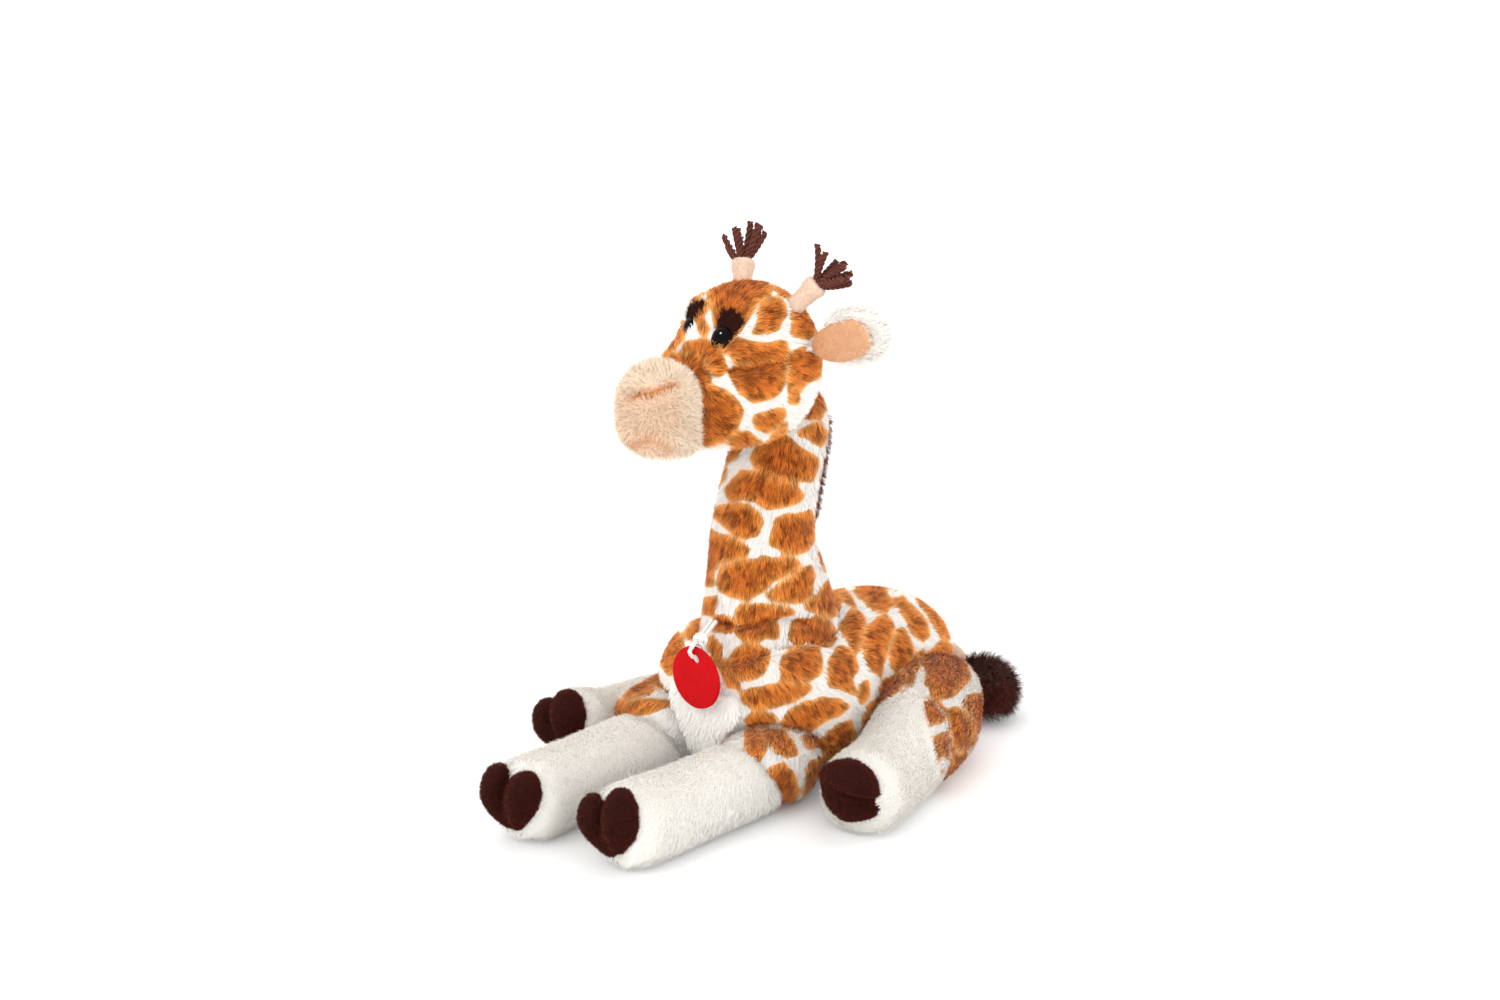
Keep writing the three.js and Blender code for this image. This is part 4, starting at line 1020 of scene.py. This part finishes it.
def carry_on(co, seen, owner, seed):
    """Coats the unseen side: cells of the usual size that keep their distance from the listed patches."""
    rng = np.random.default_rng(seed)
    wandered = co + ripple(co, 0.012, seed) * 0.0032
    groups = [wandered[(owner == k) & seen] for k in range(owner.max() + 1)]
    groups = [g[:: max(1, len(g) // 60)] for g in groups if len(g)]
    white = wandered[seen & (owner < 0)]
    taken = np.concatenate(groups) if groups else np.zeros((0, 3))
    for i in rng.permutation(np.flatnonzero(~seen))[:STARTS]:
        spot = wandered[i]
        if len(taken) and np.linalg.norm(taken - spot, axis=1).min() < CELL["apart"]:
            continue
        if len(white) and np.linalg.norm(white - spot, axis=1).min() < CELL["off_white"]:
            continue
        body = wandered[np.linalg.norm(wandered - spot, axis=1) < CELL["core"]]
        body = body[:: max(1, len(body) // 40)]
        groups.append(body)
        taken = np.concatenate([taken, body])
    away = np.stack([np.min([np.linalg.norm(wandered - point, axis=1) for point in g], axis=0) for g in groups])
    away.sort(axis=0)
    return np.minimum((away[1] - away[0]) / 2, CELL["reach"] - away[0]) / MM


def coat(node, seed):
    """Millimetres from the edge of the nearest patch, positive inside it, and more in a crease, where the extra
    depth is painted shade.
    """
    mesh = covers[node].data
    co, no = places(mesh), normals(mesh)
    nearest, next_one = np.full((2, len(co)), -20.0)
    owner = np.full(len(co), -1)
    seen = in_view(node, co, no) if painted[node] else np.zeros(len(co), dtype=bool)
    xy = in_picture(co) + ripple(co, 0.004, 5)[:, :2] * 0.7
    for number, outline in enumerate(painted[node]):
        depth = depth_in_outline(xy, outline) * PIXEL
        owner = np.where((depth > 0) & seen, number, owner)
        next_one = np.maximum(next_one, np.minimum(nearest, depth))
        nearest = np.maximum(nearest, depth)
    grown = nearest + WIDER.get(node, 0.9)
    up_to_line = np.minimum(grown + BROAD, (nearest - next_one) / 2 - HALF_LINE)
    far_side = carry_on(co, seen, owner, seed) - 0.9
    field = np.minimum(np.where(seen, np.maximum(grown, up_to_line), far_side), DEEPEST)
    # A crease adds depth inside a patch, which darkens the tan as painted shade.
    return field + np.where(field > 1, CREASE_SHADE * short_pile_and_shade.get(node, 0 * field), 0)


def keep(mesh, name, values):
    """Writes a value or a vector for each point into the mesh, for the pile and the finishes to read."""
    kind, part = ("FLOAT", "value") if values.ndim == 1 else ("FLOAT_VECTOR", "vector")
    field = mesh.attributes.new(name, kind, "POINT")
    field.data.foreach_set(part, np.ascontiguousarray(values, np.float32).ravel())


def blur(mesh, values, rounds):
    """Spreads a value to its neighbours, so that it fades."""
    edge = np.empty(len(mesh.edges) * 2, dtype=np.int64)
    mesh.edges.foreach_get("vertices", edge)
    a, b = edge.reshape(-1, 2).T
    count = np.bincount(a, minlength=len(values)) + np.bincount(b, minlength=len(values)) + 1
    for _ in range(rounds):
        total = values + np.bincount(a, values[b], len(values)) + np.bincount(b, values[a], len(values))
        values = total / count
    return values


front = depth_in_outline(in_picture(places(covers["muzzle"].data)), MUZZLE_FRONT) / 14
stain = mouth * 2.6 + chin * 0.3 + np.clip(front, 0, 1) * 0.2
keep(covers["muzzle"].data, "coat", np.clip(stain, 0, 1))
for side, word in SIDES:
    mesh = covers["ear_lining_" + word].data
    outwards = places(mesh)[:, 0] * side
    away = (outwards - outwards.min()) / 0.04
    keep(mesh, "coat", np.clip(0.5 - away, 0, 1) ** 1.5)
for seed, node in enumerate(painted):
    field = coat(node, seed + 3)
    mesh = covers[node].data
    keep(mesh, "coat", blur(mesh, field, 1))
    print(node, "is", round(float((field > 0.5).mean()), 2), "tan")

# %% [markdown]
# ## Pile
# Plush is a knit with thousands of cut ends standing out of it. Particle hair would be lost when the toy
# is exported, so each strand is a narrow blade with a bend, scattered over the skin with geometry nodes.
# A strand leans the way the cloth was brushed, which runs down the neck and back over the flanks.

# %% One strand


def strand(name, width, parts):
    """A blade one unit high: its foot at the origin, its point bent over."""
    bm = bmesh.new()
    left = bm.verts.new((0, -width / 2, 0))
    right = bm.verts.new((0, width / 2, 0))
    edge = bm.edges.new((left, right))
    for place, share in parts:
        made = bmesh.ops.extrude_edge_only(bm, edges=[edge])["geom"]
        for top in (g for g in made if isinstance(g, bmesh.types.BMVert)):
            side = 1 if top.co.y > 0 else -1
            top.co = (0.16 * math.sin(place * math.pi) - 0.06 * place, side * width / 2 * share, place)
        edge = next(g for g in made if isinstance(g, bmesh.types.BMEdge))
    bmesh.ops.remove_doubles(bm, verts=bm.verts, dist=1e-5)
    mesh = bpy.data.meshes.new(name)
    bm.to_mesh(mesh)
    bm.free()
    high = mesh.attributes.new("high", "FLOAT", "POINT")
    high.data.foreach_set("value", [v.co.z for v in mesh.vertices])
    mesh.shade_smooth()
    blade = bpy.data.objects.new(name, mesh)
    scene.collection.objects.link(blade)
    return blade


pile_strand = strand("pile_strand", 1.0, [(0.55, 0.9), (1.0, 0.0)])
nap_strand = strand("nap_strand", 1.0, [(1.0, 0.0)])
print("a strand has", len(pile_strand.data.polygons), "faces")

# %% Scatter strands with geometry nodes


def pile_group(blade, material, thickness, length, width, lean, upright, wild, seed, clump):
    """Geometry nodes that grow strands on a skin. Thickness is strands per square millimetre."""
    tree = bpy.data.node_groups.new("pile", "GeometryNodeTree")
    for end in ("INPUT", "OUTPUT"):
        tree.interface.new_socket("Skin", in_out=end, socket_type="NodeSocketGeometry")

    def named(name, kind):
        into = {"Name": name}
        return node_in(tree, "GeometryNodeInputNamedAttribute", into, data_type=kind).outputs["Attribute"]

    def stored(name, shape, value, kind, domain):
        into = {"Name": name, "Geometry": shape, "Value": value}
        return node_in(tree, "GeometryNodeStoreNamedAttribute", into, data_type=kind, domain=domain).outputs[0]

    def vector(operation, a, b=None, scale=1.0):
        into = {0: a, "Scale": scale} if b is None else {0: a, 1: b}
        return node_in(tree, "ShaderNodeVectorMath", into, operation=operation).outputs[0]

    def chance(kind, low, high, number):
        dice = node_in(tree, "FunctionNodeRandomValue", {"Seed": number}, data_type=kind)
        slots = [s for s in dice.inputs if s.enabled]
        slots[0].default_value, slots[1].default_value = low, high
        return next(s for s in dice.outputs if s.enabled)

    skin = node_in(tree, "NodeGroupInput").outputs[0]
    density = maths(tree, "MULTIPLY", named("thick", "FLOAT"), thickness * 1e6)
    into = {"Mesh": skin, "Density": density, "Seed": seed}
    where = node_in(tree, "GeometryNodeDistributePointsOnFaces", into).outputs

    way = vector("SCALE", where["Normal"], scale=upright)
    way = vector("ADD", way, vector("SCALE", named("comb", "FLOAT_VECTOR"), scale=lean))
    way = vector("ADD", way, chance("FLOAT_VECTOR", (-wild,) * 3, (wild,) * 3, seed + 1))
    here = node_in(tree, "GeometryNodeInputPosition").outputs[0]
    into = {"Vector": vector("SCALE", here, scale=1000 / clump), "Scale": 1.0}
    lock = node_in(tree, "ShaderNodeTexVoronoi", into, feature="F1", distance="EUCLIDEAN").outputs
    heart = vector("SCALE", lock["Position"], scale=clump / 1000)
    way = vector("ADD", way, vector("SCALE", vector("SUBTRACT", heart, here), scale=330 / length))
    aim = "FunctionNodeAlignRotationToVector"
    along = node_in(tree, aim, {"Vector": way}, axis="Z").outputs[0]
    outwards = vector("ADD", where["Normal"], chance("FLOAT_VECTOR", (-0.4,) * 3, (0.4,) * 3, seed + 2))
    into = {"Rotation": along, "Vector": outwards}
    face_out = node_in(tree, aim, into, axis="X", pivot_axis="Z").outputs[0]

    tall = chance("FLOAT", length * 0.72 * MM, length * 1.12 * MM, seed + 3)
    tall = maths(tree, "MULTIPLY", named("long", "FLOAT"), tall)
    wide = chance("FLOAT", width * 0.75 * MM, width * 1.25 * MM, seed + 4)
    size = node_in(tree, "ShaderNodeCombineXYZ", {"X": tall, "Y": wide, "Z": tall}).outputs[0]
    source = node_in(tree, "GeometryNodeObjectInfo", {"Object": blade}).outputs["Geometry"]
    into = {"Points": where["Points"], "Instance": source, "Rotation": face_out, "Scale": size}
    pile = node_in(tree, "GeometryNodeInstanceOnPoints", into).outputs[0]
    tint = node_in(tree, "ShaderNodeSeparateXYZ", {0: lock["Color"]}).outputs["X"]
    own = maths(tree, "ADD", maths(tree, "MULTIPLY", tint, 0.6), chance("FLOAT", -0.5, -0.1, seed + 5))
    pile = stored("own", pile, own, "FLOAT", "INSTANCE")
    pile = node_in(tree, "GeometryNodeRealizeInstances", {0: pile}).outputs[0]

    spot = node_in(tree, "GeometryNodeInputPosition").outputs[0]
    split = node_in(tree, "ShaderNodeSeparateXYZ", {0: spot}).outputs
    into = {"X": split["X"], "Y": split["Y"], "Z": maths(tree, "MAXIMUM", split["Z"], ABOVE_FLOOR)}
    spot = node_in(tree, "ShaderNodeCombineXYZ", into).outputs[0]
    pile = node_in(tree, "GeometryNodeSetPosition", {"Geometry": pile, "Position": spot}).outputs[0]
    into = {"Mesh": skin, "Value": named("coat", "FLOAT")}
    dyed = node_in(tree, "GeometryNodeSampleNearestSurface", into, data_type="FLOAT").outputs[0]
    pile = stored("coat", pile, dyed, "FLOAT", "POINT")
    pile = stored("OFBake", pile, named("root", "FLOAT_VECTOR"), "FLOAT2", "CORNER")

    together = node_in(tree, "GeometryNodeJoinGeometry")
    for shape in (pile, skin):
        tree.links.new(shape, together.inputs[0])
    into = {"Geometry": together.outputs[0], "Material": material}
    node_in(tree, "NodeGroupOutput", {0: node_in(tree, "GeometryNodeSetMaterial", into).outputs[0]})
    return tree


def lay_out(piece):
    """Unfolds the skin, and tells each of its points where it lies on the unfolded cloth."""
    bpy.context.view_layer.objects.active = piece
    piece.select_set(True)
    piece.data.uv_layers.new(name="OFBake")
    bpy.ops.object.mode_set(mode="EDIT")
    bpy.ops.mesh.select_all(action="SELECT")
    bpy.ops.uv.smart_project(angle_limit=math.radians(66), island_margin=0.003)
    bpy.ops.object.mode_set(mode="OBJECT")
    piece.select_set(False)
    mesh = piece.data
    flat = np.empty(len(mesh.loops) * 2)
    mesh.uv_layers["OFBake"].data.foreach_get("uv", flat)
    corner = np.empty(len(mesh.loops), dtype=np.int64)
    mesh.loops.foreach_get("vertex_index", corner)
    root = np.zeros((len(mesh.vertices), 3))
    root[corner, :2] = flat.reshape(-1, 2)
    keep(mesh, "root", root)


def grow(piece, *settings):
    """Grows pile on a skin and says how many triangles the piece has."""
    lay_out(piece)
    pile = piece.modifiers.new("pile", "NODES")
    pile.node_group = pile_group(*settings)
    apply_modifiers(piece)
    piece.data.shade_smooth()
    return sum(len(p.vertices) - 2 for p in piece.data.polygons)


# %% Which way the pile is brushed
WAYS = {
    # start of a piece's name: the way its strands point, with the default last
    "torso": (0, 0.6, -0.8),
    "neck": (0, -0.12, -1.0),
    "mane": (0, -0.12, -1.0),
    "head": (0, 0.9, -0.35),
    "shoulder": (0, -0.8, -0.5),
    "front_leg": (0, -0.8, -0.5),
    "thigh_left": (46 / 90, -118 / 90, -15 / 90),
    "hind_leg_left": (46 / 90, -118 / 90, -15 / 90),
    "thigh_right": (-30 / 90, -142 / 90, -17 / 90),
    "hind_leg_right": (-30 / 90, -142 / 90, -17 / 90),
    "ear_left": (0.9, 0.3, 0.2),
    "ear_right": (-0.9, 0.3, 0.0),
    "lash": (0, 0, 1.0),
    "tail_tuft": (0.75, -0.1, -0.45),
    "": (0, 0, -1.0),
}
NOSE = (0, -118, 238)  # millimetres; the muzzle's pile points away from it


def brushed(node, co, no):
    """The way the pile lies at each point of a skin."""
    if node == "muzzle":
        way = (co / MM - NOSE) * [1, 0.1, 1] + [0, 6, -8]
    else:
        way = np.tile(next(way for start, way in WAYS.items() if node.startswith(start)), (len(co), 1))
    way = way + ripple(co, 0.02, 11) * 0.16
    way -= no * (way * no).sum(axis=1, keepdims=True)
    return way / np.maximum(np.linalg.norm(way, axis=1, keepdims=True), 0.25)


# %% Grow it
PILE = {
    # node: (strands per mm2, length mm, width mm, lean, upright, wild)
    "torso": (2.2, 5, 0.33, 0.9, 0.38, 0.22),
    "belly_panel": (2.2, 5, 0.33, 0.8, 0.5, 0.3),
    "neck": (2.4, 5, 0.33, 0.9, 0.38, 0.22),
    "head": (2.6, 5, 0.32, 0.9, 0.38, 0.22),
    "muzzle": (3.0, 5, 0.32, 0.3, 0.8, 0.8),
    "shoulder": (2.3, 5, 0.33, 0.9, 0.38, 0.22),
    "front_leg": (2.2, 4.5, 0.33, 0.8, 0.45, 0.25),
    "thigh": (2.2, 5, 0.33, 0.9, 0.38, 0.22),
    "hind_leg": (2.2, 4.5, 0.33, 0.8, 0.45, 0.25),
    "ear_lining": (3, 1.4, 0.25, 0.6, 0.7, 0.4),
    "ear": (2.4, 8, 0.3, 0.8, 0.5, 0.35),
    "mane": (3, 5, 0.34, 0.45, 0.9, 0.3),
    "hoof": (3, 1.5, 0.3, 0.5, 0.8, 0.4),
    "lash": (5, 2.4, 0.26, 0.7, 0.6, 0.35),
    "ossicone": (3.5, 1.2, 0.24, 0.6, 0.7, 0.4),
    "tail_tuft": (2.6, 12, 0.36, 0.7, 0.7, 0.6),
    "tail": (3, 1.5, 0.24, 0.6, 0.7, 0.4),
}
DYES = {"lash_patch": "lash_velour", "ear_lining": "lining_velour"}  # the others are dyed as their slots say
EARS = {"ear_left": 1, "ear_right": -1}
total = 0
for seed, (node, skin) in enumerate(covers.items()):
    thickness, length, width, lean, upright, wild = next(v for k, v in PILE.items() if node.startswith(k))
    mesh = skin.data
    co, no = places(mesh), normals(mesh)
    bare = covered(node, co, no, (4 if node in EARS else 2) * MM)
    open_skin = 1 - blur(mesh, bare, 2)
    hidden_below = np.clip((no[:, 2] + 0.9) / 0.15, 0.12, 1)
    if node in EARS:
        outwards = co[:, 0] * EARS[node]
        near_root = outwards < outwards.min() + 0.014
        open_skin = np.where(near_root & (no[:, 1] < 0.3), 0, open_skin)
    keep(mesh, "thick", np.where(bare > 0, 0, open_skin) * hidden_below)
    keep(mesh, "long", (0.55 + 0.45 * open_skin) * (1 - 0.6 * short_pile_and_shade.get(node, 0 * open_skin)))
    keep(mesh, "comb", brushed(node, co, no))
    blade = pile_strand if length > 3 else nap_strand
    dye = finishes[DYES.get(node[:10], slot_of_node[node])]
    lock = 1.5 if node == "muzzle" else 3.2
    made = grow(skin, blade, dye, thickness, length, width, lean, upright, wild, seed * 10 + 1, lock)
    total += made
    print(node, "has", made, "triangles")
for blade in (pile_strand, nap_strand):
    bpy.data.objects.remove(blade)
print("pile and skins:", total)

# %% [markdown]
# ## Yarn
# The fans in the horns are cut ends of thick yarn: three plies laid round each other. One ply is a small
# ring spun up a helix, three of them make a strand, and the strands are bent apart from where they are
# sewn in.

# %% Twist a strand of yarn
YARN = dict(deep=0.95, pale=1.0, size=900, roughness=0.9, sheen=0.35, tint=(200, 140, 130))
CORD = dict(deep=0.9, pale=1.0, size=900, roughness=0.7)
yarn_brown = one_colour("brown_yarn", (44, 15, 11), (126, 74, 60), **YARN)
cord_white = one_colour("white_cord", (252, 250, 248), (236, 232, 228), **CORD)
PLIES = 3


def twisted(radius, height, turns, steps, sides=8):
    """Plies round each other, upright from the origin, closed at both ends."""
    bm = bmesh.new()
    ply = radius * 0.46
    for number in range(PLIES):
        angle = math.tau * number / PLIES
        ring = bmesh.ops.create_circle(bm, cap_ends=True, radius=ply, segments=sides)["verts"]
        flat = Matrix.Rotation(angle, 4, "Z") @ Matrix.Translation((radius - ply, 0, 0))
        bmesh.ops.transform(bm, matrix=flat, verts=ring)
        faces = list({f for v in ring for f in v.link_faces})
        edges = list({e for v in ring for e in v.link_edges})
        bmesh.ops.spin(
            bm, geom=ring + edges + faces, cent=(0, 0, 0), axis=(0, 0, 1), dvec=(0, 0, height / steps),
            angle=math.tau * turns, steps=steps, use_duplicate=False,
        )
    bmesh.ops.remove_doubles(bm, verts=bm.verts, dist=1e-7)
    bmesh.ops.recalc_face_normals(bm, faces=bm.faces)
    return bm


def bent(bm, foot, way, side, bow):
    """Stands an upright strand at a foot, pointing way, and bows it towards side."""
    height = max(v.co.z for v in bm.verts)
    across = way.cross(side).normalized()
    side = across.cross(way).normalized()
    for v in bm.verts:
        t = v.co.z / height
        v.co = foot + way * v.co.z + side * (v.co.x + bow * t * t) + across * v.co.y


def add_to(whole, part):
    """Moves one shape into another."""
    mesh = bpy.data.meshes.new("part")
    part.to_mesh(mesh)
    part.free()
    whole.from_mesh(mesh)
    bpy.data.meshes.remove(mesh)


def horn(word):
    """Foot, direction and the two directions across of a horn's end, found from its solid."""
    co = places(frame["nodes"]["ossicone_" + word].data)
    tuft = places(frame["nodes"]["yarn_tuft_" + word].data)
    low, high = co.mean(axis=0), tuft.mean(axis=0)
    out = Vector(high - low).normalized()
    along = co @ np.array(out)
    end = co[along > along.max() - 0.002].mean(axis=0)
    across = Vector((0, 1, 0)).cross(out).normalized()
    return Vector(end), out, across, out.cross(across)


FANS = {
    # horn: strands as (fan angle, lean, length in mm, bow in mm)
    "left": [
        (-40, 8, 20, -3), (-30, -12, 17, 2), (-2, 10, 19, 2), (10, -8, 19, 1), (24, 10, 19, -1),
        (36, -6, 18, -2), (46, 8, 17, -3), (16, 24, 17, 0), (-14, 20, 16, 1), (30, -24, 17, 0),
    ],
    "right": [
        (-50, 6, 22, 4), (-38, -8, 24, 3), (-26, 12, 23, 2), (-12, -10, 22, 1), (2, 12, 22, 0), (16, -4, 23, -1),
        (30, 6, 22, -3), (44, -8, 21, -4), (-20, 28, 18, 0), (10, -26, 18, 0), (52, 10, 18, -5),
    ],
}
for word in FANS:
    foot, out, across, away = horn(word)
    whole = bmesh.new()
    for number, (fan, lean, length, bow) in enumerate(FANS[word]):
        f, g = math.radians(fan), math.radians(lean)
        way = out * math.cos(f) * math.cos(g) + across * math.sin(f) + away * math.cos(f) * math.sin(g)
        way.normalize()
        strand_bm = twisted(2.0 * MM, length * MM, 2.0, 44)
        bmesh.ops.transform(strand_bm, matrix=Matrix.Rotation(number * 1.3, 4, "Z"), verts=strand_bm.verts)
        start = foot - out * 0.0012 + across * (math.sin(f) * 0.0034) + away * (math.sin(g) * 0.003)
        bent(strand_bm, start, way, across, bow * MM)
        add_to(whole, strand_bm)
    fan_piece = piece_from(whole, "yarn_fan_" + word, yarn_brown, "head", "yarn_tuft_" + word)
    print(fan_piece.name, "has", len(fan_piece.data.polygons), "faces")

# %% [markdown]
# ## Tag
# A disc of red felt with a hole, on a loop of white cord with a knot in it. The disc is a ring bridged to
# its hole, so its rim can be rounded. The cord is two strands from the seam to the knot and a loop below.

# %% Felt disc
red_felt, tree, shader = finish("red_felt", roughness=0.9, sheen=0.1, tint=(255, 60, 60), gloss=0.1)
fuzz = streaks(tree, 1400)
both = maths(tree, "MULTIPLY", maths(tree, "ADD", fuzz, streaks(tree, 120)), 0.5)
tree.links.new(blended(tree, both, plain(156, 0, 6), plain(206, 3, 14)), shader["Base Color"])
bump = node_in(tree, "ShaderNodeBump", {"Strength": 0.35, "Distance": 0.0004, "Height": fuzz})
tree.links.new(bump.outputs[0], shader["Normal"])

# Millimetres, and the turn in degrees. The inset is from the rim to the middle of the hole.
TAG = {"radius": 18, "thick": 2, "hole": 2.5, "inset": 7, "place": (5, -103.5, 75), "turn": -4}
bm = bmesh.new()
outer = bmesh.ops.create_circle(bm, radius=TAG["radius"] * MM, segments=96)["verts"]
inner = bmesh.ops.create_circle(bm, radius=TAG["hole"] * MM, segments=96)["verts"]
bmesh.ops.translate(bm, verts=inner, vec=(0, (TAG["radius"] - TAG["inset"]) * MM, 0))
bmesh.ops.bridge_loops(bm, edges=bm.edges[:])
bmesh.ops.solidify(bm, geom=bm.faces[:], thickness=TAG["thick"] * MM)
bmesh.ops.recalc_face_normals(bm, faces=bm.faces)
rims = [e for e in bm.edges if e.calc_face_angle(0) > 1]
bmesh.ops.bevel(bm, geom=rims, offset=0.0006, segments=3, profile=0.5, affect="EDGES", material=-1)
middle_z = sum(v.co.z for v in bm.verts) / len(bm.verts)
bmesh.ops.translate(bm, verts=bm.verts, vec=(0, 0, -middle_z))
upright = Matrix.Rotation(math.radians(TAG["turn"]), 4, "Z") @ Matrix.Rotation(math.pi / 2, 4, "X")
bmesh.ops.transform(bm, matrix=Matrix.Translation(Vector(TAG["place"]) * MM) @ upright, verts=bm.verts)
disc = piece_from(bm, "felt_disc", red_felt, "tag", "tag_disc")
print("disc stands", [round(v, 4) for v in disc.bound_box[0]], "to", [round(v, 4) for v in disc.bound_box[6]])

# %% Cord and knot


def smooth_route(points, count):
    """Evenly spaced places on a soft curve through a few points."""
    points = [Vector(p) * MM for p in points]
    ends = [points[0] * 2 - points[1]] + points + [points[-1] * 2 - points[-2]]
    fine = []
    for a, b, c, d in zip(ends, ends[1:], ends[2:], ends[3:]):
        for step in range(16):
            t = step / 16
            bend = (2 * a - 5 * b + 4 * c - d) * t * t + (3 * b - a - 3 * c + d) * t ** 3
            fine.append(0.5 * (2 * b + (c - a) * t + bend))
    fine.append(points[-1])
    far = np.concatenate([[0], np.cumsum([(q - p).length for p, q in zip(fine, fine[1:])])])
    even = np.linspace(0, far[-1], count)
    return [Vector([np.interp(e, far, [p[i] for p in fine]) for i in range(3)]) for e in even], far[-1]


def lay_along(bm, spots):
    """Carries an upright strand over to a route, turning it with the route."""
    height = max(v.co.z for v in bm.verts)
    ways = [(spots[min(i + 1, len(spots) - 1)] - spots[max(i - 1, 0)]).normalized() for i in range(len(spots))]
    side = ways[0].orthogonal().normalized()
    frames = []
    for way in ways:
        side = (side - way * side.dot(way)).normalized()
        frames.append((side, way.cross(side)))
    for v in bm.verts:
        t = v.co.z / height * (len(spots) - 1)
        i = max(0, min(int(t), len(spots) - 2))
        share = t - i
        one, two = (frames[i][k].lerp(frames[i + 1][k], share).normalized() for k in (0, 1))
        v.co = spots[i].lerp(spots[i + 1], share) + one * v.co.x + two * v.co.y


# The cord comes out of the seam at the top, both strands side by side, goes through the knot, and turns
# round a ring that passes through the disc's hole.
TOP, KNOT = (-4.0, -77.5, 99.0), (5.0, -100.0, 96.5)
RING, RING_MIDDLE = 3.9, (5, -103.5, 90.75)
APART = 1.3  # half the gap between the strands, and how far the ring is drawn out sideways
TURN = 6  # millimetres of cord to one turn of its plies
rise = Vector(np.subtract(TOP, KNOT)).normalized()
down = [TOP, tuple(Vector(KNOT) + rise * 3), tuple(Vector(KNOT) - rise * 3)]
route = [(x - APART, y, z) for x, y, z in down]
for angle in (-105, -63, -21, 21, 63, 105):
    x, y, z = RING_MIDDLE
    a = math.radians(angle)
    route.append((x + APART * angle / 105, y + RING * math.sin(a), z - RING * math.cos(a)))
route += [(x + APART, y, z) for x, y, z in reversed(down)]
spots, length = smooth_route(route, 150)
cord_bm = twisted(1.25 * MM, length, length / (TURN * MM), 260, sides=6)
lay_along(cord_bm, spots)
piece_from(cord_bm, "tag_loop", cord_white, "tag", "tag_cord")
whole = bmesh.new()
for tilt, shift, size in ((18, 1.0, 2.4), (-22, -1.0, 2.4), (4, 0.0, 2.8)):
    angles = np.linspace(0, math.tau, 14)
    ring = [(size * 1.15 * math.cos(a), size * math.sin(a), 0.25 * math.sin(2 * a)) for a in angles]
    rope = twisted(1.3 * MM, math.tau * size * MM, math.tau * size / TURN, 60, sides=6)
    lay_along(rope, smooth_route(ring, 60)[0])
    lean = Matrix.Translation((0, 0, shift * MM)) @ Matrix.Rotation(math.radians(tilt), 4, "X")
    lean = Matrix.Translation(Vector(KNOT) * MM) @ rise.to_track_quat("Z", "Y").to_matrix().to_4x4() @ lean
    bmesh.ops.transform(rope, matrix=lean, verts=rope.verts)
    add_to(whole, rope)
piece_from(whole, "tag_knot_turns", cord_white, "tag", "tag_knot")
print("cord is", round(length, 4), "long")

# %% Washers
washer, tree, shader = finish("washer_plastic", roughness=0.35, sheen=0.0, gloss=0.5)
dye = blended(tree, streaks(tree, 400), plain(226, 226, 222), plain(240, 240, 238))
tree.links.new(dye, shader["Base Color"])
for _, word in SIDES:
    solid = frame["nodes"]["eye_washer_" + word]
    solid.data.materials.clear()
    solid.data.materials.append(washer)
